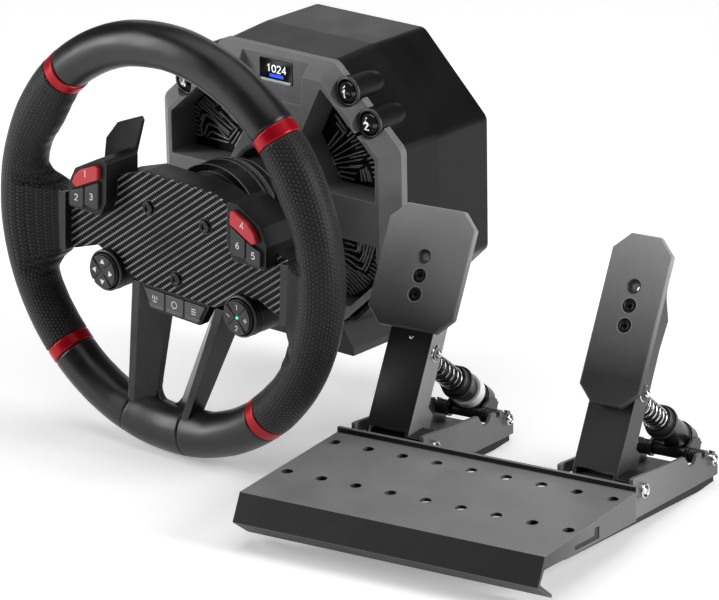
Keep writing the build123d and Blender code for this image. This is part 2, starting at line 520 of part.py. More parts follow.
SPECS = {
    "brake": dict(x=BRAKE_X, top=131.0, half=32.6, z0=72.0, z1=155.0, c=11.0, holes=(95.2, 107.8, 121.0), bump=107.0),
    "throttle": dict(x=THROTTLE_X, top=135.0, half=21.6, z0=47.0, z1=160.1, c=11.0, holes=(99.8, 113.0, 125.8), bump=111.6),
}
COLLAR = (23.6, 27.0, 33.4)      # lower face, step and spring face of the spring seat's collar
BOSS_TOP = 58.0
for name, s in SPECS.items():
    F, B, T_, K = ARM_FRONT, ARM_REAR, s["top"], s["bump"]
    side = [(-8.6, -4.0), (F, 6.0), (F, T_), (F + 6, T_), (-1.0, K + 13.0), (9.4, K), (7.0, K - 20), (B, 26.0), (16.2, 23.0),
            (16.2, 5.0), (8.6, -4.0)]
    arm = block(-ARM_HALF, ARM_HALF, F, F + 2.2, 6.0, T_)
    for x0 in (-ARM_HALF, ARM_HALF - 2.2):
        arm += poly_x(side, x0, x0 + 2.2) + rod_x(0, 0, x0, x0 + 2.2, 9.5)
    arm += block(-ARM_HALF, ARM_HALF, F, F + 6, T_ - 2.2, T_)
    arm += rod_x(0, 0, -ARM_HALF + 2, ARM_HALF - 2, 7.0)
    arm -= rod_x(0, 0, -30, 30, PIVOT_R + RUNNING)
    arm += rod_x(PIN_Y, PIN_Z, -ARM_HALF - 1.6, ARM_HALF + 2.6, PIN_R)
    arm += rod_x(PIN_Y, PIN_Z, ARM_HALF - 0.1, ARM_HALF + 2.0, 5.0)
    for hz in s["holes"]:
        arm -= rod_y(0, hz, F - 1, F + 6, 2.6)
    write(f"{name}_arm", arm_place(s["x"], arm))

    pad = chamfered(0, s["half"], s["z0"], s["z1"], s["c"], -19.0, -14.4)
    pad = chamfer(pad.faces().sort_by(Axis.Y)[0].edges(), 0.8)
    pad += block(-11, 11, -14.5, F - 0.02, s["holes"][0] - 6, s["holes"][-1] + 6)
    for hz in s["holes"]:
        pad -= rod_y(0, hz, -20, F + 1, 2.7)
        pad -= rod_y(0, hz, -20, -16.0, 4.9)
    write(f"{name}_pad", arm_place(s["x"], pad))

    def strut_place(shape, x=s["x"]):
        return pedals(Pos(x, SEAT_PIN[0], SEAT_PIN[1]) * Rot(STRUT_TILT, 0, 0) * shape)

    def tube(z0, z1, r):
        return rod((0, AXIS_Y, z0), (0, AXIS_Y, z1), r)

    c0, c1, c2 = COLLAR
    seat = tube(-14.5, c0 + 0.1, 9.2) + tube(-14.5, -4.0, 10.6) + tube(c0, c1, 11.4) + tube(c1 - 0.1, c2, 9.8) + tube(
        c2 - 0.1, BOSS_TOP, 6.2)
    seat += block(-14.6, 14.6, AXIS_Y - 6, AXIS_Y + 1, -12.0, -4.5)
    for x0 in (-14.6, 12.4):
        seat += poly_x([(-5.4, -1.6), (-4.0, 4.2), (4.0, 4.6), (AXIS_Y - 2.0, 1.0), (AXIS_Y + 1.6, -3.4), (AXIS_Y + 2.0, -8.0),
                        (AXIS_Y - 0.6, -11.8), (AXIS_Y - 5.0, -13.0), (3.0, -12.0)], x0, x0 + 2.2)
        seat += rod_x(0, 0, x0, x0 + 2.2, 5.6)
    seat -= rod_x(0, 0, -20, 20, PIN_R + RUNNING)
    seat -= tube(-20, BOSS_TOP + 2, ROD_R + RUNNING)
    write(f"{name}_seat", strut_place(seat))
    rodp = tube(14.0, STRUT_LEN - 4.0, ROD_R) + rod_x(AXIS_Y, STRUT_LEN, -4, 4, 5.7) + tube(
        STRUT_LEN - 11.0, STRUT_LEN - 9.0, 8.3)
    rodp -= rod_x(AXIS_Y, STRUT_LEN, -6, 6, PIN_R + EYE_SLACK)
    write(f"{name}_rod", strut_place(rodp))
    z0, z1 = c2 + 0.9, STRUT_LEN - 11.0 - 0.9
    turns = 8 if name == "throttle" else 7
    helix = Helix(pitch=(z1 - z0) / turns, height=z1 - z0, radius=7.35)
    start = helix @ 0
    wire_face = Plane(origin=start, z_dir=helix % 0) * Circle(0.8)
    spring = Pos(0, AXIS_Y, z0) * sweep(wire_face, path=helix, is_frenet=True)
    print(name, "spring volume", spring.volume, "section x length", math.pi * 0.64 * helix.length)
    write(f"{name}_spring", strut_place(spring))
    if name == "brake":
        elastomer = tube(4.0, 12.0, 11.2) - tube(3, 13, 9.25)
        write("elastomer_ring", strut_place(elastomer))
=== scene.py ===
import json
import math

import bmesh
import bpy
from mathutils import Matrix, Vector, noise


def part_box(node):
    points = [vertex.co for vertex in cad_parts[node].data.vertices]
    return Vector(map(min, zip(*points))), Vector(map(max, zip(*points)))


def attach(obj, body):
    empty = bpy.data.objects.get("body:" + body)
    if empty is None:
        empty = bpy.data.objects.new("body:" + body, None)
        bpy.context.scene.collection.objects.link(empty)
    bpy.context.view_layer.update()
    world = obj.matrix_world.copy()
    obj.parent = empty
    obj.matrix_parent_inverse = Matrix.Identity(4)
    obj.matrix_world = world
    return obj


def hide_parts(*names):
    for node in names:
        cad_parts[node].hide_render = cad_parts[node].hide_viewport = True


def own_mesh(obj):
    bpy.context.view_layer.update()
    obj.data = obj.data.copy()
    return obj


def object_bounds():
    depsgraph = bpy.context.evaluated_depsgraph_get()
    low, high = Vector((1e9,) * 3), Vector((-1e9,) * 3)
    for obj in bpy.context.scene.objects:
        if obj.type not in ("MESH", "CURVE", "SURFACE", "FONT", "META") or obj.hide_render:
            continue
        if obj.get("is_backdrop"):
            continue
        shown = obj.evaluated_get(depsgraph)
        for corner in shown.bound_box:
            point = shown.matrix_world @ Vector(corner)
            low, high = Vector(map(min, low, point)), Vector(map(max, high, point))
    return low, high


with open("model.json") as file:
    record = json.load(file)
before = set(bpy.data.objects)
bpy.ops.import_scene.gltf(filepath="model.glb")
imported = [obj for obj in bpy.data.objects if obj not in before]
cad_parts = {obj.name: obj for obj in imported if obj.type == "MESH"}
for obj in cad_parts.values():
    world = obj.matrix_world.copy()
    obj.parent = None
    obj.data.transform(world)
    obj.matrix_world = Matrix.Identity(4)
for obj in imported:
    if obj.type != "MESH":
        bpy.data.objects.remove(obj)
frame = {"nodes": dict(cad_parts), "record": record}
CAD_LO, CAD_HI = (list(v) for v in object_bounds())
nodes = frame["nodes"]
record = frame["record"]
joint = {j["name"]: j for j in record["behaviour"]["joints"]}
scene = bpy.context.scene


# ------------------------------------------------------------------ frames
def box(name):
    a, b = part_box(name)
    return Vector(a), Vector(b)


def mid(name):
    a, b = box(name)
    return (a + b) / 2


core_lo, core_hi = box("rim_core")
SHAFT_Z = (core_lo.z + core_hi.z) / 2
RIM_Y = (core_lo.y + core_hi.y) / 2
CORE_R = (core_hi.y - core_lo.y) / 2
RC = (core_hi.z - core_lo.z) / 2 - CORE_R            # radius of the rim's centre line
R_SMOOTH = box("smooth_grips")[1].z - SHAFT_Z - RC   # outward tube radius, smooth leather
R_GRIP = (box("side_grips")[1].y - box("side_grips")[0].y) / 2

_up = Vector(joint["paddle_left_pull"]["axis"]).normalized()
_fw = Vector((0, 1, 0))
_rt = _fw.cross(_up)
M_WHEEL = Matrix(((_rt.x, _fw.x, _up.x, 0), (_rt.y, _fw.y, _up.y, 0), (_rt.z, _fw.z, _up.z, SHAFT_Z), (0, 0, 0, 1)))
TURN = math.atan2(_up.x, _up.z)
M_BASE = Matrix.Translation((0, 0, SHAFT_Z))

_px = -Vector(joint["throttle_press"]["axis"]).normalized()
_py = Vector((-_px.y, _px.x, 0))
_po = Vector(joint["throttle_press"]["pos_m"])
BRAKE_X, THROTTLE_X = -0.0772, 0.0772
PIVOT = (0.134, 0.032)
SEAT = (0.233, 0.0187)
PIN = (0.1638, 0.0855)
LEAN = math.radians(30.0)
_org = _po - _px * THROTTLE_X - _py * PIVOT[0] - Vector((0, 0, PIVOT[1]))
M_PEDAL = Matrix(((_px.x, _py.x, 0, _org.x), (_px.y, _py.y, 0, _org.y), (0, 0, 1, _org.z), (0, 0, 0, 1)))


def m_arm(x):
    return M_PEDAL @ Matrix.Translation((x, *PIVOT)) @ Matrix.Rotation(-LEAN, 4, "X")


STRUT_TILT = math.radians(53.3)


def m_strut(x):
    return M_PEDAL @ Matrix.Translation((x, *SEAT)) @ Matrix.Rotation(STRUT_TILT, 4, "X")


MM = 0.001
S_MM = Matrix.Scale(MM, 4)
MW, MB, MP = M_WHEEL @ S_MM, M_BASE @ S_MM, M_PEDAL @ S_MM


# --------------------------------------------------------------- materials
class Tree:
    def __init__(self, name):
        self.m = bpy.data.materials.new(name)
        self.m.use_nodes = True
        self.t = self.m.node_tree
        self.t.nodes.clear()
        self.out = self.add("ShaderNodeOutputMaterial")
        self.b = self.add("ShaderNodeBsdfPrincipled")
        self.link(self.b.outputs[0], self.out.inputs[0])
        self.tc = self.add("ShaderNodeTexCoord")

    def add(self, kind, **props):
        n = self.t.nodes.new(kind)
        for k, v in props.items():
            setattr(n, k, v)
        return n

    def link(self, a, b):
        self.t.links.new(a, b)

    def feed(self, sock, v):
        if isinstance(v, bpy.types.NodeSocket):
            self.link(v, sock)
        else:
            sock.default_value = v

    def math(self, op, a, b=0.0, c=0.0, clamp=False):
        n = self.add("ShaderNodeMath", operation=op, use_clamp=clamp)
        self.feed(n.inputs[0], a)
        self.feed(n.inputs[1], b)
        if len(n.inputs) > 2:
            self.feed(n.inputs[2], c)
        return n.outputs[0]

    def noise(self, scale, detail=3.0, rough=0.5, vec=None, dist=0.0):
        n = self.add("ShaderNodeTexNoise")
        n.inputs["Scale"].default_value = scale
        n.inputs["Detail"].default_value = detail
        n.inputs["Roughness"].default_value = rough
        n.inputs["Distortion"].default_value = dist
        self.link(vec or self.tc.outputs["Object"], n.inputs["Vector"])
        return n.outputs["Fac"]

    def ramp(self, fac, stops):
        n = self.add("ShaderNodeValToRGB")
        els = n.color_ramp.elements
        while len(els) < len(stops):
            els.new(0.5)
        for e, (p, c) in zip(els, stops):
            e.position = p
            e.color = (*c, 1) if len(c) == 3 else c
        self.link(fac, n.inputs[0])
        return n.outputs[0]

    def remap(self, fac, a, b, lo, hi):
        n = self.add("ShaderNodeMapRange")
        for k, v in (("From Min", a), ("From Max", b), ("To Min", lo), ("To Max", hi)):
            n.inputs[k].default_value = v
        self.link(fac, n.inputs["Value"])
        return n.outputs[0]

    def mix(self, fac, a, b):
        n = self.add("ShaderNodeMix", data_type="RGBA")
        self.feed(n.inputs[0], fac)
        for s, v in ((n.inputs[6], a), (n.inputs[7], b)):
            if isinstance(v, bpy.types.NodeSocket):
                self.link(v, s)
            else:
                s.default_value = (*v, 1)
        return n.outputs[2]

    def bump(self, height, strength, distance, normal=None):
        n = self.add("ShaderNodeBump")
        n.inputs["Strength"].default_value = strength
        n.inputs["Distance"].default_value = distance
        self.link(height, n.inputs["Height"])
        if normal is not None:
            self.link(normal, n.inputs["Normal"])
        return n.outputs[0]

    def bevel(self, radius):
        n = self.add("ShaderNodeBevel", samples=6)
        n.inputs["Radius"].default_value = radius
        return n.outputs[0]

    def edges(self, radius, gain=1.0):
        """1 on sharp convex or concave edge lines, 0 elsewhere; the mask of the painted edge highlights."""
        b = self.bevel(radius)
        g = self.add("ShaderNodeNewGeometry")
        d = self.add("ShaderNodeVectorMath", operation="DOT_PRODUCT")
        self.link(b, d.inputs[0])
        self.link(g.outputs["Normal"], d.inputs[1])
        return self.remap(d.outputs["Value"], 0.995, 0.86, 0.0, gain)

    def set(self, **kw):
        names = {"metal": "Metallic", "rough": "Roughness", "spec": "Specular IOR Level", "coat": "Coat Weight",
                 "coat_rough": "Coat Roughness", "sheen": "Sheen Weight", "sheen_rough": "Sheen Roughness",
                 "base": "Base Color", "normal": "Normal", "emit": "Emission Color", "emit_s": "Emission Strength",
                 "aniso": "Anisotropic", "ior": "IOR", "alpha": "Alpha", "transmission": "Transmission Weight"}
        for k, v in kw.items():
            s = self.b.inputs[names[k]]
            if isinstance(v, bpy.types.NodeSocket):
                self.link(v, s)
            elif isinstance(v, tuple) and len(v) == 3:
                s.default_value = (*v, 1)
            else:
                s.default_value = v


def plastic(name, lo, hi, rough=0.5, rvar=0.08, grain=2600, gdist=0.00005, gstr=0.35, mott=45, bevel=0.0005,
            edge=0.25, edge_highlight_col=(0.3, 0.3, 0.31), metal=0.0, spec=0.5, coat=0.0, coat_rough=0.1, sheen=0.0):
    """Moulded or coated surface: fine grain, faint mottling, and painted highlights lightening its sharp edge lines."""
    t = Tree(name)
    big = t.noise(mott, 4, 0.55)
    fine = t.noise(grain, 2, 0.6)
    speck = t.ramp(fine, [(0.35, (0, 0, 0)), (0.7, (1, 1, 1))])
    col = t.mix(t.remap(big, 0.3, 0.7, 0, 1), lo, hi)
    grainmix = t.math("MULTIPLY", speck, 0.22)
    col = t.mix(grainmix, col, tuple(min(1, c * 2.2 + 0.01) for c in hi))
    # painted highlight: sharp edge lines are mixed towards the lighter edge colour
    if edge:
        col = t.mix(t.edges(bevel * 1.1, edge), col, edge_highlight_col)
    n = t.bump(fine, gstr, gdist, t.bevel(bevel))
    t.set(base=col, rough=t.remap(big, 0.3, 0.7, rough - rvar, rough + rvar), normal=n, metal=metal, spec=spec,
          coat=coat, coat_rough=coat_rough, sheen=sheen)
    return t.m


def tread(name):
    """Powder-coated plate with painted light: faces turned up are painted much lighter as if light fell from above,
    faces turned to +X are lighter towards the rear with painted shade at the front, and sharp edge lines carry a
    painted highlight.
    """
    t = Tree(name)
    big = t.noise(26, 4, 0.55)
    fine = t.noise(1500, 2, 0.6)
    speck = t.ramp(fine, [(0.35, (0, 0, 0)), (0.7, (1, 1, 1))])
    g = t.add("ShaderNodeNewGeometry")
    up = t.add("ShaderNodeSeparateXYZ")
    t.link(g.outputs["Normal"], up.inputs[0])
    # painted light: how far a face turns up sets how much of the light top tone it gets
    painted_top_light = t.remap(up.outputs[2], 0.75, 0.98, 0.0, 1.0)
    painted_top_light_varied = t.math("MULTIPLY", painted_top_light, t.remap(t.noise(9, 5, 0.6), 0.3, 0.7, 0.88, 1.0))
    # low is the shaded tone of the folded sides, high the painted top light
    low = t.mix(t.remap(big, 0.3, 0.7, 0, 1), (0.007, 0.007, 0.0073), (0.01, 0.01, 0.0105))
    high = t.mix(t.remap(big, 0.3, 0.7, 0, 1), (0.18, 0.181, 0.184), (0.23, 0.231, 0.234))
    near = t.add("ShaderNodeSeparateXYZ")
    t.link(t.tc.outputs["Object"], near.inputs[0])
    # painted light on faces turned to +X, fading to painted shade towards the front
    painted_side_light = t.math("MULTIPLY", t.remap(up.outputs[0], 0.6, 0.95, 0.0, 1.0), t.remap(near.outputs[1], -0.235, -0.16, 0.12, 0.95))
    low = t.mix(painted_side_light, low, (0.125, 0.125, 0.127))
    col = t.mix(painted_top_light_varied, low, high)
    col = t.mix(t.math("MULTIPLY", speck, t.remap(painted_top_light, 0.0, 1.0, 0.05, 0.3)), col, (0.2, 0.2, 0.2))
    # painted edge highlight
    col = t.mix(t.edges(0.0006, 0.75), col, (0.34, 0.34, 0.35))
    t.set(base=col, rough=t.remap(big, 0.3, 0.7, 0.42, 0.5), spec=0.3, normal=t.bump(fine, 0.6, 0.00013, t.bevel(0.0006)))
    return t.m


def coated(name, dark, light, axis, a, b, spec=0.5, turn=0.0):
    """Powder coat with painted light: its tone runs from dark to light along an axis of the part, or with the side axis
    it is lighter on faces turned to +X; sharp edge lines carry a painted highlight.
    """
    t = Tree(name)
    big = t.noise(26, 4, 0.55)
    fine = t.noise(1500, 2, 0.6)
    speck = t.ramp(fine, [(0.35, (0, 0, 0)), (0.7, (1, 1, 1))])
    sep = t.add("ShaderNodeSeparateXYZ")
    if axis == "side":
        g = t.add("ShaderNodeNewGeometry")
        t.link(g.outputs["Normal"], sep.inputs[0])
        f = t.remap(sep.outputs[0], a, b, 0.0, 1.0)
    else:
        t.link(t.tc.outputs["Object"], sep.inputs[0])
        f = t.remap(sep.outputs["XYZ".index(axis)], a, b, 0.0, 1.0)
    f = t.math("MULTIPLY", f, t.remap(big, 0.3, 0.7, 0.86, 1.0))
    col = t.mix(f, dark, light)
    col = t.mix(t.math("MULTIPLY", speck, 0.4), col, t.mix(f, tuple(2.5 * c + 0.01 for c in dark), tuple(1.6 * c for c in light)))
    # painted edge highlight
    col = t.mix(t.edges(0.0006, 0.6), col, (0.3, 0.3, 0.31))
    t.set(base=col, rough=t.remap(big, 0.3, 0.7, 0.38, 0.48), spec=spec, normal=t.bump(fine, 0.5, 0.00012, t.bevel(0.0006)))
    return t.m


def metal(name, col, rough=0.25, rvar=0.07, bevel=0.0003, streak=900):
    t = Tree(name)
    big = t.noise(60, 4, 0.6)
    fine = t.noise(streak, 3, 0.6)
    c = t.mix(t.remap(big, 0.3, 0.7, 0, 1), tuple(x * 0.82 for x in col), col)
    t.set(base=c, metal=1.0, rough=t.remap(fine, 0.3, 0.7, rough - rvar, rough + rvar),
          normal=t.bump(fine, 0.12, 0.00003, t.bevel(bevel)))
    return t.m


def leather(name, lo, hi, rough, perforated):
    t = Tree(name)
    uv = t.tc.outputs["UV"]
    warp = t.add("ShaderNodeTexVoronoi", feature="DISTANCE_TO_EDGE")
    warp.inputs["Scale"].default_value = 1150 if not perforated else 1500
    t.link(t.tc.outputs["Object"], warp.inputs["Vector"])
    cell = t.remap(warp.outputs["Distance"], 0.0, 0.18, 0.0, 1.0)
    big = t.noise(38, 4, 0.6)
    fine = t.noise(3200, 3, 0.6)
    col = t.mix(t.remap(big, 0.3, 0.7, 0, 1), lo, hi)
    h = t.math("MULTIPLY_ADD", cell, 0.55, t.math("MULTIPLY", fine, 0.45))
    r = t.remap(big, 0.3, 0.7, rough - 0.05, rough + 0.06)
    n = t.bump(h, 0.35 if not perforated else 0.5, 0.00006)
    if perforated:
        sep = t.add("ShaderNodeSeparateXYZ")
        t.link(uv, sep.inputs[0])
        pitch = 0.0029
        v = t.math("DIVIDE", sep.outputs[1], pitch * 0.866)
        row = t.math("FLOOR", v)
        odd = t.math("MULTIPLY", t.math("FLOORED_MODULO", row, 2.0), 0.5)
        u = t.math("ADD", t.math("DIVIDE", sep.outputs[0], pitch), odd)
        du = t.math("SUBTRACT", t.math("FRACT", u), 0.5)
        dv = t.math("MULTIPLY", t.math("SUBTRACT", t.math("FRACT", v), 0.5), 0.866)
        d = t.math("SQRT", t.math("ADD", t.math("MULTIPLY", du, du), t.math("MULTIPLY", dv, dv)))
        hole = t.remap(d, 0.19, 0.27, 1.0, 0.0)
        rim = t.remap(d, 0.25, 0.4, 1.0, 0.0)
        # painted highlight: a light ring round each hole; painted shade: the hole itself near black
        col = t.mix(t.math("MULTIPLY", t.remap(d, 0.25, 0.38, 1.0, 0.0), 0.85), col, (0.085, 0.085, 0.087))
        col = t.mix(hole, col, (0.0015, 0.0015, 0.0015))
        dent = t.math("SUBTRACT", t.math("MULTIPLY", rim, -0.5), hole)
        n = t.bump(dent, 0.75, 0.00032, n)
    t.set(base=col, rough=r, normal=n, spec=0.45 if not perforated else 0.2, sheen=0.02)
    return t.m


def carbon(name):
    """Two-over-two twill of fine tows under a thin satin coat; the crowns of the tows running one way are painted
    bright and the others faint, as painted sheen, and sharp edge lines carry a painted highlight.
    """
    t = Tree(name)
    rot = t.add("ShaderNodeVectorRotate", rotation_type="Y_AXIS")
    rot.inputs["Angle"].default_value = -TURN - math.radians(7.0)
    t.link(t.tc.outputs["Object"], rot.inputs["Vector"])
    rot.inputs["Center"].default_value = (0, 0, SHAFT_Z)
    sep = t.add("ShaderNodeSeparateXYZ")
    t.link(rot.outputs[0], sep.inputs[0])
    w = 0.00145
    u = t.math("DIVIDE", sep.outputs[0], w)
    v = t.math("DIVIDE", sep.outputs[2], w)
    cu, cv = t.math("FLOOR", u), t.math("FLOOR", v)
    fu, fv = t.math("FRACT", u), t.math("FRACT", v)
    k = t.math("FLOORED_MODULO", t.math("SUBTRACT", cu, cv), 4.0)
    weft = t.math("LESS_THAN", k, 1.5)
    pos_w = t.math("DIVIDE", t.math("ADD", k, fu), 2.0)
    arch_w = t.math("SINE", t.math("MULTIPLY", t.math("MINIMUM", pos_w, 1.0), math.pi))
    prof_w = t.math("SUBTRACT", 1.0, t.math("POWER", t.math("ABSOLUTE", t.math("MULTIPLY_ADD", fv, 2.0, -1.0)), 2.0))
    lit = t.math("MULTIPLY", t.math("MULTIPLY", arch_w, prof_w), weft)
    k2 = t.math("FLOORED_MODULO", t.math("ADD", t.math("SUBTRACT", cv, cu), 1.0), 4.0)
    pos_p = t.math("DIVIDE", t.math("ADD", k2, fv), 2.0)
    arch_p = t.math("SINE", t.math("MULTIPLY", t.math("MINIMUM", pos_p, 1.0), math.pi))
    prof_p = t.math("SUBTRACT", 1.0, t.math("POWER", t.math("ABSOLUTE", t.math("MULTIPLY_ADD", fu, 2.0, -1.0)), 3.0))
    dim = t.math("MULTIPLY", t.math("MULTIPLY", arch_p, prof_p), t.math("SUBTRACT", 1.0, weft))
    fibre = t.noise(5200, 2, 0.5)
    tone = t.math("ADD", t.math("MULTIPLY", lit, 1.0), t.math("MULTIPLY", dim, 0.16))
    tone = t.math("MULTIPLY", tone, t.remap(fibre, 0.3, 0.7, 0.72, 1.15), clamp=True)
    big = t.noise(30, 3, 0.5)
    tone = t.math("MULTIPLY", tone, t.remap(big, 0.3, 0.7, 0.85, 1.1), clamp=True)
    # painted sheen: the ramp takes the brightest tows up to light grey
    col = t.ramp(tone, [(0.0, (0.0012, 0.0012, 0.0013)), (0.22, (0.006, 0.006, 0.0065)), (0.48, (0.085, 0.086, 0.088)), (0.85, (0.46, 0.465, 0.475))])
    col = t.mix(t.edges(0.0004, 0.5), col, (0.45, 0.45, 0.46))
    n = t.bump(t.math("ADD", lit, t.math("MULTIPLY", dim, 0.6)), 0.4, 0.00012, t.bevel(0.0004))
    t.set(base=col, rough=t.remap(tone, 0.0, 1.0, 0.5, 0.36), normal=n, metal=0.0, spec=0.1)
    return t.m


def chrome(name, tone=0.72, rough=0.1):
    return metal(name, (tone, tone, tone * 1.01), rough, 0.04, 0.00025, 1400)


MAT = {
    "shell_plastic": plastic("shell_plastic", (0.0035, 0.0035, 0.0038), (0.0055, 0.0055, 0.0058), 0.36, 0.04, 1500, 0.00004,
                             0.35, 30, 0.0012, 0.1, (0.04, 0.04, 0.042), spec=0.2),
    "bezel_plastic": plastic("bezel_plastic", (0.125, 0.126, 0.129), (0.165, 0.166, 0.17), 0.5, 0.05, 2100, 0.00014, 0.6,
                             40, 0.0006, 0.85, (0.42, 0.42, 0.43), spec=0.35),
    "grille_plastic": plastic("grille_plastic", (0.0015, 0.0015, 0.0015), (0.003, 0.003, 0.003), 0.6, 0.05, edge=0.05, spec=0.2),
    "display_glass": plastic("display_glass", (0.002, 0.002, 0.003), (0.004, 0.004, 0.006), 0.08, 0.03, 900, 0.00001, 0.1,
                             20, 0.0003, 0.2),
    "button_gloss": plastic("button_gloss", (0.006, 0.006, 0.007), (0.01, 0.01, 0.011), 0.07, 0.03, 700, 0.00001, 0.08,
                            30, 0.0003, 0.0, coat=0.6, coat_rough=0.05),
    "foot_plastic": plastic("foot_plastic", (0.01, 0.01, 0.011), (0.016, 0.016, 0.017), 0.45, 0.07, 1900, 0.00008, 0.5,
                            40, 0.0008, 0.2, (0.1, 0.1, 0.1)),
    "motor_alloy": metal("motor_alloy", (0.42, 0.43, 0.44), 0.45, 0.1),
    "motor_steel": metal("motor_steel", (0.32, 0.32, 0.33), 0.4, 0.1, streak=500),
    "bearing_steel": metal("bearing_steel", (0.6, 0.6, 0.61), 0.22),
    "circuit_board": plastic("circuit_board", (0.01, 0.08, 0.04), (0.02, 0.13, 0.07), 0.35, 0.05, mott=300),
    "shaft_coating": plastic("shaft_coating", (0.012, 0.012, 0.013), (0.02, 0.02, 0.021), 0.3, 0.06, bevel=0.0005, edge=0.6,
                             edge_highlight_col=(0.4, 0.4, 0.41), metal=0.3),
    "collar_plastic": plastic("collar_plastic", (0.003, 0.003, 0.0033), (0.005, 0.005, 0.0055), 0.3, 0.06, 1700, 0.00005, 0.3,
                              40, 0.0006, 0.7, (0.42, 0.42, 0.43), spec=0.3),
    "carbon_weave": carbon("carbon_weave"),
    "hub_plastic": plastic("hub_plastic", (0.0028, 0.0028, 0.003), (0.0045, 0.0045, 0.0048), 0.4, 0.06, 1900, 0.00006, 0.3,
                           40, 0.0007, 0.3, (0.13, 0.13, 0.135), spec=0.2),
    "spoke_paint": plastic("spoke_paint", (0.007, 0.007, 0.0075), (0.01, 0.01, 0.0105), 0.26, 0.04, 1200, 0.00003, 0.1,
                           30, 0.0006, 0.35, (0.26, 0.26, 0.27), spec=0.7),
    "core_steel": metal("core_steel", (0.4, 0.4, 0.41), 0.4),
    "smooth_leather": leather("smooth_leather", (0.003, 0.003, 0.0032), (0.005, 0.005, 0.0053), 0.34, False),
    "perforated_leather": leather("perforated_leather", (0.004, 0.004, 0.0042), (0.007, 0.007, 0.0073), 0.4, True),
    "black_screw": plastic("black_screw", (0.01, 0.01, 0.011), (0.018, 0.018, 0.019), 0.28, 0.06, 1400, 0.00003, 0.3, 60,
                           0.0003, 0.5, (0.4, 0.4, 0.41), metal=0.6),
    "switch_plastic": plastic("switch_plastic", (0.0035, 0.0035, 0.0038), (0.006, 0.006, 0.0065), 0.42, 0.06, 2400, 0.00006, 0.45,
                              50, 0.0005, 0.55, (0.26, 0.26, 0.27), spec=0.25),
    "red_plastic": plastic("red_plastic", (0.42, 0.006, 0.014), (0.52, 0.01, 0.02), 0.42, 0.05, 2600, 0.00003, 0.3, 60,
                           0.0005, 0.5, (0.85, 0.25, 0.25)),
    "key_plastic": plastic("key_plastic", (0.01, 0.01, 0.0105), (0.015, 0.015, 0.016), 0.5, 0.05, 2600, 0.00008, 0.5, 60,
                           0.0004, 0.5, (0.2, 0.2, 0.21)),
    "pin_steel": chrome("pin_steel", 0.75, 0.12),
    "paddle_paint": plastic("paddle_paint", (0.008, 0.008, 0.0085), (0.012, 0.012, 0.0125), 0.42, 0.05, 2600, 0.00005, 0.4, 50,
                            0.0006, 0.5, (0.14, 0.14, 0.145)),
    "plate_powder": tread("plate_powder"),
    "pedal_powder": plastic("pedal_powder", (0.018, 0.018, 0.019), (0.026, 0.026, 0.027), 0.42, 0.05, 1500, 0.00012, 0.5, 26,
                            0.0006, 0.7, (0.3, 0.3, 0.31), spec=1.0),
    "foot_rubber": plastic("foot_rubber", (0.007, 0.007, 0.007), (0.011, 0.011, 0.011), 0.75, 0.06, edge=0.1),
    "strut_plastic": plastic("strut_plastic", (0.008, 0.008, 0.009), (0.013, 0.013, 0.014), 0.28, 0.06, bevel=0.0004,
                             edge=0.5, edge_highlight_col=(0.3, 0.3, 0.31)),
    "spring_chrome": chrome("spring_chrome", 0.78, 0.14),
    "spring_dark": chrome("spring_dark", 0.5, 0.2),
    "elastomer_white": plastic("elastomer_white", (0.72, 0.72, 0.71), (0.82, 0.82, 0.81), 0.4, 0.06, 1200, 0.00004, 0.2,
                               60, 0.0004, 0.0),
}


def band_material():
    t = Tree("red_band")
    uv = t.add("ShaderNodeSeparateXYZ")
    t.link(t.tc.outputs["UV"], uv.inputs[0])
    big = t.noise(90, 3, 0.5)
    brushed = t.noise(2600, 2, 0.6)
    col = t.mix(t.remap(big, 0.3, 0.7, 0, 1), (0.30, 0.001, 0.007), (0.42, 0.002, 0.012))
    # painted edge highlight in a light red
    col = t.mix(t.edges(0.0004, 0.35), col, (0.75, 0.25, 0.28))
    t.set(base=col, metal=0.35, rough=t.remap(brushed, 0.3, 0.7, 0.26, 0.36), spec=0.3,
          normal=t.bump(brushed, 0.15, 0.00003, t.bevel(0.0004)))
    return t.m


MAT["red_band"] = band_material()
MAT["rib"] = plastic("rib_light", (0.16, 0.16, 0.165), (0.24, 0.24, 0.245), 0.4, 0.05, bevel=0.0002, edge=0.3,
                     edge_highlight_col=(0.6, 0.6, 0.6))
# painted highlight: the black grille ribs are drawn light grey, standing for light caught along them
MAT["rib_bright"] = plastic("rib_bright", (0.42, 0.42, 0.425), (0.55, 0.55, 0.555), 0.4, 0.05, bevel=0.0002, edge=0.2,
                            edge_highlight_col=(0.7, 0.7, 0.7))
MAT["centre_plastic"] = plastic("centre_plastic", (0.042, 0.042, 0.044), (0.056, 0.056, 0.058), 0.45, 0.05, 2600, 0.00006, 0.4, 60,
                                0.0004, 0.5, (0.26, 0.26, 0.27))
MAT["mark"] = plastic("mark_white", (0.6, 0.6, 0.6), (0.75, 0.75, 0.75), 0.5, 0.05, bevel=0.0001, edge=0.0)
MAT["ring_satin"] = plastic("ring_satin", (0.03, 0.03, 0.031), (0.045, 0.045, 0.047), 0.3, 0.05, bevel=0.0003, edge=0.6,
                            edge_highlight_col=(0.4, 0.4, 0.41), spec=0.6)
# near black; the hub screw wells and the skirt slots use it as painted shade
MAT["socket"] = plastic("socket_black", (0.002, 0.002, 0.002), (0.004, 0.004, 0.004), 0.5, 0.05, edge=0.0)


def glow(name, col, s):
    t = Tree(name)
    t.set(base=t.mix(t.remap(t.noise(900), 0.3, 0.7, 0, 1), tuple(c * 0.8 for c in col), col), rough=0.4, emit=col,
          emit_s=s)
    return t.m


MAT["screen_white"] = glow("screen_white", (0.75, 0.8, 0.75), 0.9)
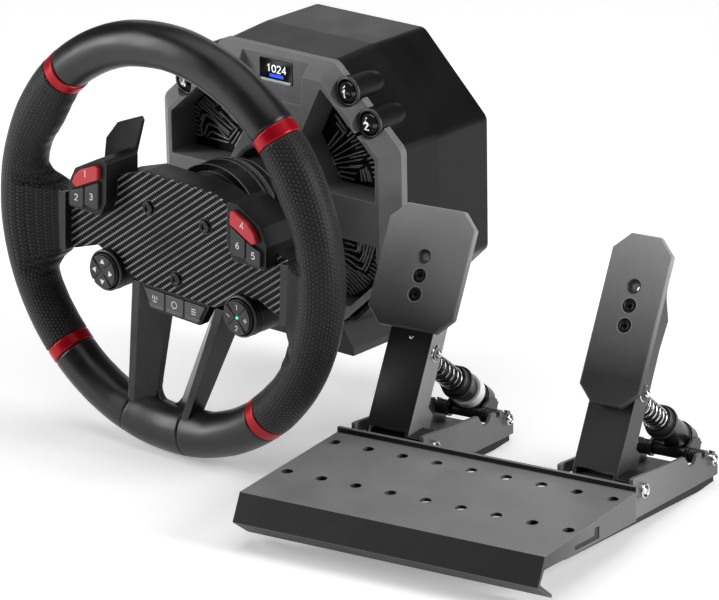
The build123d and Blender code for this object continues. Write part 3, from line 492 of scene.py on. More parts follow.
# painted light: the numbers on the dome buttons glow, though they are no lamp
MAT["mark_bright"] = glow("mark_bright", (0.9, 0.9, 0.9), 0.55)
MAT["screen_blue"] = glow("screen_blue", (0.02, 0.06, 0.75), 1.1)
MAT["led_green"] = glow("led_green", (0.1, 0.85, 0.5), 1.6)

# painted light: pads lighter towards the top, arms lighter on faces turned to +X, rails lighter towards the front; the
# throttle arm's copy stays dark on those faces as painted shade
MAT["pad_coat"] = coated("pad_coat", (0.011, 0.011, 0.0115), (0.3, 0.3, 0.303), "Z", 0.05, 0.13)
MAT["arm_painted_light"] = coated("arm_painted_light", (0.009, 0.009, 0.0095), (0.27, 0.27, 0.273), "side", 0.55, 0.95)
MAT["arm_painted_shade"] = coated("arm_painted_shade", (0.009, 0.009, 0.0095), (0.026, 0.026, 0.027), "side", 0.55, 0.95)
MAT["rail_painted_light"] = coated("rail_painted_light", (0.045, 0.045, 0.046), (0.15, 0.15, 0.152), "Y", 0.03, -0.1)


def spoke_satin(name):
    """Satin paint with painted light: the flat inner faces of the spokes, found by their normals leaning to +X, are
    painted brighter than their edge bands and backs, more so towards the top; sharp edge lines get a painted highlight.
    """
    t = Tree(name)
    big = t.noise(30, 4, 0.55)
    fine = t.noise(1200, 2, 0.6)
    g = t.add("ShaderNodeNewGeometry")
    n3 = t.add("ShaderNodeSeparateXYZ")
    t.link(g.outputs["Normal"], n3.inputs[0])
    # painted light: face mask from the normal, then raised towards the top
    face = t.math("MULTIPLY", t.remap(n3.outputs[0], 0.3, 0.45, 0.0, 1.0), t.remap(n3.outputs[0], 0.9, 0.97, 1.0, 0.0))
    o = t.add("ShaderNodeSeparateXYZ")
    t.link(t.tc.outputs["Object"], o.inputs[0])
    face = t.math("MULTIPLY", face, t.remap(o.outputs[2], -0.03, 0.06, 0.45, 1.0))
    col = t.mix(t.remap(big, 0.3, 0.7, 0, 1), (0.006, 0.006, 0.0065), (0.009, 0.009, 0.0095))
    col = t.mix(face, col, (0.11, 0.11, 0.112))
    col = t.mix(t.edges(0.0006, 0.4), col, (0.3, 0.3, 0.31))
    t.set(base=col, rough=t.remap(big, 0.3, 0.7, 0.24, 0.32), spec=0.4, normal=t.bump(fine, 0.1, 0.00003, t.bevel(0.0006)))
    return t.m


MAT["spoke_satin"] = spoke_satin("spoke_satin")
OWN = {"spoke_frame": "spoke_satin", "pedal_bolts": "pin_steel", "brake_pad": "pad_coat", "throttle_pad": "pad_coat", "brake_arm": "arm_painted_light",
       "throttle_arm": "arm_painted_shade", "pedal_rails": "rail_painted_light", "centre_key_left": "centre_plastic",
       "centre_key_middle": "centre_plastic", "centre_key_right": "centre_plastic"}
slot_of = {s["node"]: s["material_slot"] for s in record["subparts"]}
for name, obj in nodes.items():
    m = MAT[OWN.get(name, slot_of[name])]
    obj.data.materials.clear()
    obj.data.materials.append(m)


# ---------------------------------------------------------------- geometry
def make(name, verts, faces, mat, body, M=None, smooth=True, angle=None, uvs=None, slot=None, fix=False):
    me = bpy.data.meshes.new(name)
    me.from_pydata([tuple((M @ Vector(v)) if M is not None else v) for v in verts], [], faces)
    me.validate()
    if fix:
        bm = bmesh.new()
        bm.from_mesh(me)
        bmesh.ops.recalc_face_normals(bm, faces=bm.faces)
        bm.to_mesh(me)
        bm.free()
    me.update()
    me.materials.append(MAT[mat] if isinstance(mat, str) else mat)
    if uvs is not None:
        layer = me.uv_layers.new(name="UVMap")
        for poly in me.polygons:
            for li in poly.loop_indices:
                layer.data[li].uv = uvs[poly.index][li - poly.loop_start]
    o = bpy.data.objects.new(name, me)
    scene.collection.objects.link(o)
    for p in me.polygons:
        p.use_smooth = smooth
    if angle is not None:
        me.set_sharp_from_angle(angle=math.radians(angle))
    if body:
        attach(o, body)
    return o


def lathe(profile, n=48, close=False):
    """Revolves (radius, height) points about local Z."""
    verts, faces = [], []
    ring = []
    for r, h in profile:
        if r < 1e-7:
            ring.append([len(verts)])
            verts.append((0, 0, h))
        else:
            ring.append(list(range(len(verts), len(verts) + n)))
            verts += [(r * math.cos(2 * math.pi * i / n), r * math.sin(2 * math.pi * i / n), h) for i in range(n)]
    pairs = list(zip(ring, ring[1:])) + ([(ring[-1], ring[0])] if close else [])
    for a, b in pairs:
        for i in range(n):
            j = (i + 1) % n
            if len(a) == 1 and len(b) == 1:
                continue
            if len(a) == 1:
                faces.append((a[0], b[i], b[j]))
            elif len(b) == 1:
                faces.append((a[i], b[0], a[j]))
            else:
                faces.append((a[i], b[i], b[j], a[j]))
    return verts, faces


def prism(pts, y0, y1, bev=0.0, steps=2):
    """Outline in x and z between y0 (front) and y1, its front edge rounded by bev."""
    n = len(pts)
    area = sum(pts[i][0] * pts[(i + 1) % n][1] - pts[(i + 1) % n][0] * pts[i][1] for i in range(n))
    if area < 0:
        pts = pts[::-1]
    rings = []

    def inset(d):
        out = []
        for i in range(n):
            a, b, c = Vector(pts[i - 1]), Vector(pts[i]), Vector(pts[(i + 1) % n])
            e0, e1 = (b - a).normalized(), (c - b).normalized()
            n0, n1 = Vector((-e0.y, e0.x)), Vector((-e1.y, e1.x))
            m = n0 + n1
            m = m / max(0.2, m.dot(n0))
            out.append(b + m * d)
        return out
    if bev:
        for k in range(steps + 1):
            a = math.pi / 2 * k / steps
            rings.append((inset(bev * (1 - math.sin(a))), y0 + bev * (1 - math.cos(a))))
        rings = [(inset(bev * (1 - math.sin(math.pi / 2 * k / steps))), y0 + bev * (1 - math.cos(math.pi / 2 * k / steps)))
                 for k in range(steps + 1)]
    else:
        rings.append((inset(0), y0))
    rings.append((inset(0), y1))
    verts = [(p[0], y, p[1]) for ring, y in rings for p in ring]
    faces = [tuple(range(n))]
    for r in range(len(rings) - 1):
        for i in range(n):
            j = (i + 1) % n
            faces.append((r * n + i, (r + 1) * n + i, (r + 1) * n + j, r * n + j))
    faces.append(tuple((len(rings) - 1) * n + i for i in reversed(range(n))))
    return verts, faces


def join(parts):
    verts, faces = [], []
    for v, f in parts:
        k = len(verts)
        verts += list(v)
        faces += [tuple(i + k for i in face) for face in f]
    return verts, faces


def moved(part, M):
    v, f = part
    return [tuple(M @ Vector(p)) for p in v], f


def scaled(pts):
    return [(x * MM, z * MM) for x, z in pts]


def table(pts, x):
    """Smooth interpolation in a list of (x, value)."""
    if x <= pts[0][0]:
        return pts[0][1]
    for (x0, v0), (x1, v1) in zip(pts, pts[1:]):
        if x <= x1:
            t = (x - x0) / (x1 - x0)
            t = t * t * (3 - 2 * t)
            return v0 + (v1 - v0) * t
    return pts[-1][1]


# ------------------------------------------------------------ steering rim
BAND_T, BAND_B, BAND_H = 44.1, 138.1, 1.9
# inward reach of the rim's section, millimetres, against the angle from the top
REACH = [(42.0, 14.9), (46.5, 15.2), (52.5, 17.2), (57.0, 18.4), (61.0, 18.7), (65.0, 17.8), (68.5, 16.0), (72.0, 14.7),
         (76.0, 14.4), (79.0, 15.2), (81.5, 18.0), (83.6, 25.0), (85.2, 37.2), (108.0, 33.0), (109.8, 25.5),
         (112.0, 19.0), (115.0, 15.6), (119.0, 14.4), (124.0, 14.4), (130.0, 15.3), (136.0, 15.6), (140.0, 15.0)]


def side_reach(a):
    if 85.2 <= a <= 108.0:
        return min(37.3, RC / MM - 97.3 / math.sin(math.radians(a)) * 1.0)
    return table(REACH, a)


def bracket(a):
    """1 where the grip runs in to the hub's side bracket."""
    up = min(1.0, max(0.0, (a - 78.5) / 6.7))
    dn = min(1.0, max(0.0, (116.0 - a) / 8.0))
    up, dn = up * up * (3 - 2 * up), dn * dn * (3 - 2 * dn)
    return min(up, dn)


def rim_point(th, ph, reach, w, r0, swell=0.0):
    c, s = math.cos(ph), math.sin(ph)
    r0 = r0 - swell
    if c >= 0:
        return RC + r0 * c, RIM_Y - r0 * s
    u = -c
    R = RC - (reach * MM - swell) * u
    plain = r0 * s
    k = max(0.0, (u - 0.93) / 0.07)
    flat = (r0 + (0.0082 - r0) * min(1.0, u * 1.25) ** 1.2) * math.sqrt(max(0.0, 1 - k ** 2.2)) * (1 if s >= 0 else -1)
    flat *= min(1.0, abs(s) / 0.12 + 0.0) if u > 0.93 else 1.0
    if u < 0.35:
        flat = plain + (flat - plain) * (u / 0.35) ** 1.5
    shift = 0.0105 * min(1.0, u * 1.15) ** 1.6
    y = (1 - w) * plain + w * flat
    return R, RIM_Y - y + w * shift


def rim_arc(name, a0, a1, mat, node_slot, kind, n=160, m=56):
    verts, uvs_v = [], []
    for i in range(n + 1):
        t = i / n
        th = a0 + (a1 - a0) * t
        d_end = min(abs(th - a0), abs(a1 - th)) * math.radians(1) * RC / MM      # mm from the nearest end
        fold = 1.1 * math.exp(-(d_end / 0.9) ** 2)
        mir = abs((th + 180) % 360 - 180)
        if kind == "side":
            reach, w, r0 = side_reach(mir), bracket(mir), R_GRIP
        elif kind == "top":
            reach, w, r0 = table([(0, 15.5), (30, 15.3), (44, 14.9)], mir), 0.0, R_SMOOTH
        else:
            sd = 180 - mir
            signed = th - 180
            reach, w, r0 = table([(0, 18.5), (6, 18.5), (13, 17.0), (20, 15.5), (44, 15.0)], sd), 0.0, R_SMOOTH
            for seam in (-9.6, 12.2):
                fold = max(fold, 0.7 * math.exp(-((signed - seam) * math.radians(1) * RC / MM / 0.55) ** 2))
        for j in range(m):
            ph = 2 * math.pi * j / m
            lump = 0.00022 * noise.noise(Vector((th * 0.12, math.cos(ph) * 1.3, math.sin(ph) * 1.3)))
            R, y = rim_point(th, ph, reach, w, r0, fold * MM - lump if kind != "band" else 0)
            a = math.radians(th)
            verts.append((R * math.sin(a), y, R * math.cos(a)))
    faces, uvs = [], []
    arc = math.radians(a1 - a0) * RC
    around = 2 * math.pi * R_GRIP
    for i in range(n):
        for j in range(m):
            k = (j + 1) % m
            faces.append((i * m + j, (i + 1) * m + j, (i + 1) * m + k, i * m + k))
            uvs.append([(arc * i / n, around * j / m), (arc * (i + 1) / n, around * j / m),
                        (arc * (i + 1) / n, around * (j + 1) / m), (arc * i / n, around * (j + 1) / m)])
    for i, flip in ((0, True), (n, False)):
        loop = [i * m + j for j in range(m)]
        faces.append(tuple(loop if flip else reversed(loop)))
        uvs.append([(0, 0)] * m)
    o = make(name, verts, faces, mat, "wheel", M_WHEEL, uvs=uvs, slot=node_slot, angle=55)
    return o


g1 = rim_arc("grip_top", -BAND_T + BAND_H, BAND_T - BAND_H, "smooth_leather", "smooth_leather", "top", 150)
g2 = rim_arc("grip_bottom", BAND_B + BAND_H, 360 - BAND_B - BAND_H, "smooth_leather", "smooth_leather", "bottom", 260)
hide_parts("smooth_grips")
g3 = rim_arc("grip_right", BAND_T + BAND_H, BAND_B - BAND_H, "perforated_leather", "perforated_leather", "side", 300, 64)
g4 = rim_arc("grip_left", 360 - BAND_B + BAND_H, 360 - BAND_T - BAND_H, "perforated_leather", "perforated_leather", "side",
             300, 64)
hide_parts("side_grips")


def band(name, centre):
    n, m = 14, 72
    verts, faces = [], []
    for i in range(n + 1):
        t = i / n
        th = centre - BAND_H + 0.05 + (2 * BAND_H - 0.1) * t
        d = min(t, 1 - t) * 2 * BAND_H * math.radians(1) * RC / MM
        edge = 0.55 * (1 - min(1.0, d / 0.7)) ** 2
        for j in range(m):
            ph = 2 * math.pi * j / m
            R, y = rim_point(th, ph, 15.6, 0.0, R_GRIP - 0.0002, edge * MM)
            a = math.radians(th)
            verts.append((R * math.sin(a), y, R * math.cos(a)))
    for i in range(n):
        for j in range(m):
            k = (j + 1) % m
            faces.append((i * m + j, (i + 1) * m + j, (i + 1) * m + k, i * m + k))
    faces.append(tuple(range(m)))
    faces.append(tuple(n * m + j for j in reversed(range(m))))
    return make(name, verts, faces, "red_band", "wheel", M_WHEEL, slot="red_band", angle=50)


bands = [band(f"band_{i}", a) for i, a in enumerate((-BAND_T, BAND_T, BAND_B, -BAND_B))]
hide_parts("rim_bands")

# ---------------------------------------------------------- detail helpers
# All detail below is drawn in millimetres in the frame of the part it sits on.
def ribbon(pts, w, y0, y1, bev=None, closed=False, drape=None):
    """Raised strip of width w along (x, z) points, its front at y0 and its back at y1."""
    P = [Vector(p) for p in pts]
    n = len(P)
    c = w * 0.22 if bev is None else bev
    s = 1 if y1 > y0 else -1
    verts, faces = [], []
    for i in range(n):
        d0 = (P[i] - P[i - 1]).normalized() if (i or closed) else None
        d1 = (P[(i + 1) % n] - P[i]).normalized() if (i < n - 1 or closed) else None
        d0 = d0 if d0 is not None else d1
        d1 = d1 if d1 is not None else d0
        t = d0 + d1
        t = t.normalized() if t.length > 1e-6 else d0
        nrm = Vector((-t.y, t.x))
        k = 1 / max(0.5, nrm.dot(Vector((-d0.y, d0.x))))
        h = w / 2 * k
        for off, dep in ((-h, y1), (-h, y0 + c * s), (-h + c * k, y0), (h - c * k, y0), (h, y0 + c * s), (h, y1)):
            q = P[i] + nrm * off
            verts.append((q.x, dep + (drape(q.x, q.y) if drape else 0.0), q.y))
    for i in range(n if closed else n - 1):
        j = (i + 1) % n
        for k in range(6):
            m = (k + 1) % 6
            faces.append((i * 6 + k, i * 6 + m, j * 6 + m, j * 6 + k))
    if not closed:
        faces.append(tuple(range(6)))
        faces.append(tuple((n - 1) * 6 + k for k in reversed(range(6))))
    return verts, faces


def strips(name, lines, w, y0, y1, mat, body, M, slot, closed=False, drape=None, bev=None):
    part = join([ribbon(line, w, y0, y1, bev, closed, drape) for line in lines])
    return make(name, *part, mat, body, M, smooth=False, slot=slot, fix=True)


GLYPH = {
    "0": [[(0.3, 1.0), (0.1, 0.9), (0.0, 0.66), (0.0, 0.34), (0.1, 0.1), (0.3, 0.0), (0.5, 0.1), (0.6, 0.34), (0.6, 0.66),
           (0.5, 0.9), (0.31, 1.0)]],
    "1": [[(0.12, 0.78), (0.34, 1.0), (0.34, 0.0)]],
    "2": [[(0.0, 0.76), (0.08, 0.93), (0.3, 1.0), (0.52, 0.93), (0.6, 0.74), (0.5, 0.54), (0.0, 0.0), (0.62, 0.0)]],
    "3": [[(0.02, 0.9), (0.3, 1.0), (0.53, 0.92), (0.58, 0.75), (0.48, 0.58), (0.24, 0.53), (0.52, 0.45), (0.6, 0.27),
           (0.5, 0.07), (0.28, 0.0), (0.0, 0.1)]],
    "4": [[(0.46, 0.0), (0.46, 1.0), (0.0, 0.3), (0.64, 0.3)]],
    "5": [[(0.56, 1.0), (0.08, 1.0), (0.04, 0.55), (0.22, 0.63), (0.42, 0.6), (0.58, 0.45), (0.6, 0.28), (0.5, 0.08),
           (0.28, 0.0), (0.0, 0.1)]],
    "6": [[(0.5, 0.96), (0.24, 0.86), (0.04, 0.56), (0.0, 0.28), (0.1, 0.07), (0.3, 0.0), (0.5, 0.07), (0.6, 0.28),
           (0.5, 0.5), (0.3, 0.58), (0.06, 0.44)]],
    "8": [[(0.3, 0.54), (0.08, 0.66), (0.06, 0.86), (0.3, 1.0), (0.54, 0.86), (0.52, 0.66), (0.3, 0.54), (0.04, 0.38),
           (0.0, 0.18), (0.3, 0.0), (0.6, 0.18), (0.56, 0.38), (0.31, 0.54)]],
}


def number(text, cx, cz, h, turn=0.0, squeeze=1.0):
    """Strokes of a plain number centred on (cx, cz)."""
    lines = []
    total = len(text) * 0.6 + (len(text) - 1) * 0.26
    c, s = math.cos(math.radians(turn)), math.sin(math.radians(turn))
    for i, ch in enumerate(text):
        for line in GLYPH[ch]:
            out = []
            for x, z in line:
                u, v = (x + i * 0.86 - total / 2) * h * squeeze, (z - 0.5) * h
                out.append((cx + u * c - v * s, cz + u * s + v * c))
            lines.append(out)
    return lines


def circle_pts(cx, cz, r, n=28, a0=0.0, a1=360.0):
    return [(cx + r * math.sin(math.radians(a0 + (a1 - a0) * i / n)), cz + r * math.cos(math.radians(a0 + (a1 - a0) * i / n)))
            for i in range(n if abs(a1 - a0) >= 360 else n + 1)]


def face_y(cx, y, cz):
    """Local +Z points to the front (-Y), local +Y up."""
    return Matrix.Translation((cx, y, cz)) @ Matrix.Rotation(math.pi / 2, 4, "X")


def face_x(x, y, z, sign=1):
    return Matrix.Translation((x, y, z)) @ Matrix.Rotation(sign * math.pi / 2, 4, "Y")


def turned(name, profile, mat, body, M, slot, n=40, closed=False, angle=40):
    v, f = lathe(profile, n, closed)
    return make(name, v, f, mat, body, M, angle=angle, slot=slot, fix=True)


def hexagon(r, z, a0=0.0):
    return [(r * math.cos(math.radians(60 * i + a0)), r * math.sin(math.radians(60 * i + a0)), z) for i in range(6)]


def socket_head(r, h, key, depth, n=36):
    """Cap screw head about local Z, base at 0 and top at h, with a six-sided socket."""
    v, f = lathe([(r, 0.0), (r, h - 0.45), (r - 0.12, h - 0.18), (r - 0.42, h), (key * 1.16, h)], n)
    base = len(v) - n
    k = len(v)
    v += hexagon(key, h - 0.25) + hexagon(key, h - depth)
    for i in range(n):
        j = (i + 1) % n
        a, b = int(round(i * 6 / n)) % 6, int(round(j * 6 / n)) % 6
        if a == b:
            f.append((base + i, base + j, k + a))
        else:
            f.append((base + i, base + j, k + b, k + a))
    for i in range(6):
        j = (i + 1) % 6
        f.append((k + i, k + j, k + 6 + j, k + 6 + i))
    f.append(tuple(k + 6 + i for i in range(6)))
    f.append(tuple(reversed(range(n))))
    return v, f


# ------------------------------------------------------------ base details
RIBS_LEFT = [
    [(-82.7, 53.6), (-72.6, 48.3)], [(-68.7, 45.4), (-54.1, 36.3)], [(-84.8, 51.4), (-74.3, 46.4), (-66.2, 41.7)],
    [(-86.9, 49.5), (-74.1, 42.8), (-65.0, 38.3), (-57.1, 34.4)], [(-89.7, 47.4), (-77.5, 42.2), (-70.0, 36.9), (-59.9, 31.8)],
    [(-87.3, 29.9), (-82.9, 39.6), (-81.6, 40.9), (-73.6, 37.7), (-60.6, 29.9)],
    [(-83.8, 25.4), (-80.8, 33.3), (-79.5, 34.6), (-70.1, 33.2), (-62.4, 27.2)],
    [(-81.2, 24.9), (-78.0, 29.1), (-76.3, 29.5), (-60.7, 26.7)], [(-78.8, 24.3), (-76.2, 24.6), (-60.8, 24.4)],
    [(-91.5, 44.7), (-86.8, 42.7)], [(-91.5, 41.3), (-87.9, 40.2)], [(-91.5, 38.4), (-88.4, 37.7)],
    [(-91.5, 35.1), (-88.8, 34.3)], [(-91.5, 31.9), (-88.6, 31.2)], [(-91.5, 28.5), (-88.2, 27.9)],
    [(-91.5, 25.2), (-87.4, 24.4)], [(-84.2, 40.9), (-87.0, 36.1)], [(-85.1, 37.1), (-86.6, 32.2)], [(-86.7, 30.1), (-85.8, 24.4)],
    [(-52.4, 36.3), (-59.7, 27.5)], [(-50.5, 34.4), (-57.8, 24.2)], [(-48.6, 32.7), (-55.2, 22.6)],
    [(-46.7, 31.0), (-52.2, 22.4)], [(-44.4, 29.6), (-49.4, 22.0)], [(-42.4, 28.0), (-46.6, 21.6)]]
RIBS_RIGHT = [
    [(29.7, 39.2), (39.7, 52.0)], [(31.5, 38.0), (46.4, 53.0)], [(33.7, 35.5), (54.2, 51.8)], [(35.5, 33.2), (58.5, 47.4)],
    [(37.0, 31.1), (62.4, 42.3)], [(37.6, 28.6), (60.8, 36.1)], [(39.8, 26.2), (57.7, 29.7)], [(40.5, 23.5), (54.6, 24.5)],
    [(33.6, 29.2), (40.1, 20.4), (53.1, 20.1)], [(47.8, 50.0), (52.0, 54.1)], [(51.5, 46.6), (56.0, 49.2)],
    [(55.1, 42.6), (60.7, 45.4)], [(57.9, 37.8), (65.0, 40.4)], [(48.8, 28.9), (60.6, 31.6)], [(49.7, 35.0), (60.1, 38.6)],
    [(65.6, 37.3), (69.2, 38.7)], [(67.4, 34.7), (71.4, 36.2)], [(68.8, 31.9), (73.2, 32.9)], [(69.9, 28.7), (74.0, 29.3)],
    [(70.6, 25.6), (74.4, 25.9)], [(27.0, 34.2), (33.6, 24.4)], [(28.2, 29.9), (33.0, 22.0)],
    [(31.3, 29.6), (36.0, 21.6)], [(29.6, 36.8), (36.4, 27.0)], [(38.0, 57.8), (45.0, 51.2)],
    [(37.0, 63.0), (46.6, 54.0)], [(37.6, 68.6), (48.9, 57.0)], [(59.2, 28.4), (60.1, 20.3)], [(61.4, 29.4), (63.4, 20.9)],
    [(63.7, 31.0), (66.4, 21.5)], [(65.8, 29.1), (68.6, 21.4)]]
RIBS_LOW = [
    [(43.4, -26.5), (52.4, -26.9)], [(43.0, -30.8), (49.4, -30.6), (53.8, -31.2), (55.4, -28.9), (55.9, -24.4)],
    [(42.0, -34.2), (50.2, -35.2), (53.7, -36.1), (56.7, -37.2), (58.5, -34.3), (60.3, -31.1), (61.3, -22.4)],
    [(56.3, -31.3), (58.6, -24.0)], [(59.6, -37.6), (61.7, -33.2), (64.8, -22.8)],
    [(40.0, -36.8), (48.7, -39.1), (53.6, -41.3), (58.8, -43.0), (60.6, -40.6), (63.2, -35.3), (65.2, -30.8), (68.0, -22.0)],
    [(61.5, -43.6), (64.6, -38.5), (67.2, -32.4), (71.2, -21.0)],
    [(36.0, -38.4), (48.6, -44.0), (55.0, -46.6), (60.9, -50.1), (64.8, -52.1)], [(54.5, -44.7), (59.4, -46.4), (66.3, -49.4)],
    [(44.0, -44.6), (51.9, -48.0), (57.3, -51.3), (62.2, -54.6)], [(36.0, -43.0), (48.4, -49.2), (54.3, -52.7), (59.7, -56.8)],
    [(34.6, -45.6), (48.4, -52.0), (53.3, -55.4), (57.2, -58.5)], [(36.0, -49.6), (47.8, -54.9), (51.2, -57.8), (54.9, -60.8)],
    [(38.0, -53.6), (47.7, -58.6), (50.2, -60.9), (52.2, -62.8)], [(39.6, -58.0), (45.4, -61.0), (48.4, -63.4)],
    [(65.7, -42.7), (74.4, -46.0)], [(64.2, -45.2), (72.0, -48.4)], [(66.5, -39.5), (77.6, -43.6)], [(68.1, -36.6), (80.6, -41.0)],
    [(69.6, -33.2), (84.4, -38.4)], [(70.6, -29.8), (88.4, -36.0)], [(71.8, -26.4), (90.6, -32.6)], [(73.0, -22.8), (90.6, -28.8)],
    [(74.2, -19.2), (90.6, -24.8)], [(77.2, -16.2), (90.6, -20.6)], [(84.0, -15.2), (90.6, -17.0)],
    [(44.6, -22.6), (53.2, -22.2)], [(45.6, -18.4), (72.4, -17.6)], [(46.6, -15.4), (70.0, -15.2)]]
# the outer half of the right upper grille and the inner half of the left one follow each other, mirrored
OUTER = [[(-x, z) for x, z in line] for line in RIBS_LEFT if max(x for x, z in line) < -74.9]
OUTER += [[(66.6, 41.7), (74.3, 46.4), (82.0, 51.4)], [(67.8, 38.9), (86.9, 48.6)], [(72.6, 36.6), (88.6, 44.4)],
          [(75.4, 33.4), (84.0, 38.2)], [(60.6, 49.8), (74.2, 57.2)], [(63.4, 46.6), (78.2, 54.6)]]
INNER = [[(-x, z) for x, z in line] for line in RIBS_RIGHT if max(x for x, z in line) < 47.5]
INNER += [[(-35.5, 33.2), (-46.0, 39.8)], [(-33.7, 35.5), (-50.2, 48.6)], [(-52.2, 40.2), (-66.4, 49.2)],
          [(-54.6, 50.4), (-64.4, 57.6)], [(-51.2, 55.6), (-60.2, 63.2)], [(-69.4, 49.8), (-78.4, 56.2)]]


def ribs(name, lines):
    # light grey ribs on the black grille: painted highlight
    strips(name, lines, 0.68, -34.5, -32.9, "rib_bright", "base", MB, "grille_plastic", bev=0.15)


ribs("ribs_upper_left", RIBS_LEFT + INNER)
ribs("ribs_upper_right", RIBS_RIGHT + OUTER)
ribs("ribs_lower_right", RIBS_LOW)
ribs("ribs_lower_left", [[(-x, z) for x, z in line] for line in RIBS_LOW])

# display: a plain number, a bar and a row of slanted ticks
strips("display_number", number("1024", 0.6, 92.6, 4.9, squeeze=1.08), 0.85, -51.66, -51.45, "screen_white", "base", MB,
       "display_glass", bev=0.04)
strips("display_bar", [[(-5.6, 87.6), (6.8, 87.6)]], 2.3, -51.62, -51.45, "screen_blue", "base", MB, "display_glass", bev=0.05)
strips("display_ticks", [[(-14.0 + 1.6 * i, 83.2), (-12.6 + 1.6 * i, 85.0)] for i in range(17)], 0.42, -51.66, -51.45, "screen_white",
       "base", MB, "display_glass", bev=0.04)

# domed base buttons, each in a stepped ring
POD_XZ = ((63.7, 88.4), (82.5, 69.7))
DOME = [(0.0, 4.3), (1.6, 4.15), (3.2, 3.65), (4.7, 2.85), (6.0, 1.75), (7.0, 0.75), (7.6, -0.4), (7.8, -1.6), (7.8, -6.0)]


def dome_y(px, pz):
    def drape(x, z):
        r = math.hypot(x - px, z - pz)
        for (r0, h0), (r1, h1) in zip(DOME, DOME[1:]):
            if r <= r1:
                return -(h0 + (h1 - h0) * (r - r0) / (r1 - r0))
        return 0.0
    return drape


k = 1
for side, sx in (("right", 1), ("left", -1)):
    for place, (px, pz) in zip(("upper", "lower"), POD_XZ):
        body = f"base_button_{side}_{place}"
        d = turned(f"dome_{side}_{place}", DOME + [(0.0, -6.0)], "button_gloss", body, MB @ face_y(sx * px, -51.0, pz),
                   "button_gloss", 56)
        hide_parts(body)
        # glowing number: painted light
        strips(f"dome_mark_{side}_{place}", number(str(k), sx * px + 0.2, pz - 0.9, 5.2), 0.95, -51.44, -50.9, "mark_bright", body,
               MB, "button_gloss", drape=dome_y(sx * px, pz), bev=0.03)
        turned(f"dome_ring_{side}_{place}",
               [(8.35, 0.0), (8.35, 0.6), (8.7, 1.05), (9.4, 1.2), (10.1, 0.95), (10.55, 0.4), (10.6, 0.0)], "ring_satin", "base",
               MB @ face_y(sx * px, -50.95, pz), "shell_plastic", 56, closed=True)
        k += 1

# nose ring round the shaft
turned("nose_ring", [(35.9, 0.0), (35.9, 1.2), (36.6, 1.9), (38.6, 1.9), (39.4, 1.2), (39.4, 0.0)], "ring_satin", "base",
       MB @ face_y(0, -57.9, 3), "bezel_plastic", 96, closed=True)

# ----------------------------------------------------------- wheel details
for i, (r, h) in enumerate(((36.1, 126.4), (41.1, 115.6), (41.1, 95.6), (38.1, 86.2))):
    turned(f"collar_edge_{i}", [(r - 0.6, -0.35), (r, -0.5), (r + 0.22, 0.0), (r, 0.5), (r - 0.6, 0.35)], "ring_satin", "wheel",
           MW @ face_y(0, -h, 0), "collar_plastic", 110, closed=True)
for i, (bx, bz) in enumerate(((-25.55, 14.75), (25.55, 14.75), (0.0, -29.5))):
    make(f"hub_screw_{i}", *socket_head(4.25, 1.15, 2.35, 1.1), "black_screw", "wheel", MW @ face_y(bx, -154.75, bz), angle=35,
         slot="black_screw", fix=True)
    # painted shade: a flat black ring round each screw stands for the shade of its well
    turned(f"hub_well_shade_{i}", [(4.55, 0.0), (4.7, 0.16), (5.6, 0.16), (5.75, 0.0)], "socket", "wheel", MW @ face_y(bx, -153.98, bz),
           "black_screw", 40, closed=True)


def flip_x(lines, sx):
    return [[(sx * x, z) for x, z in line] for line in lines]


# marks of the buttons on the switch boxes: plain numbers
MARKS = {"trigger_button": ((-70.6, 31.0), 4.6, -168.6), "key_outer": ((-79.8, 12.0), 4.3, -167.4),
         "key_inner": ((-66.0, 15.6), 4.3, -167.4)}
k = 1
for sx, side in ((-1, "left"), (1, "right")):
    for part_name, ((cx, cz), h, front) in MARKS.items():
        c = -cx * sx * 1.0
        body = f"{part_name}_{side}"
        strips(f"mark_{body}", number(str(k), c, cz, h), 0.72, front - 0.14, front + 0.05, "mark", body, MW, slot_of[body], bev=0.03)
        k += 1

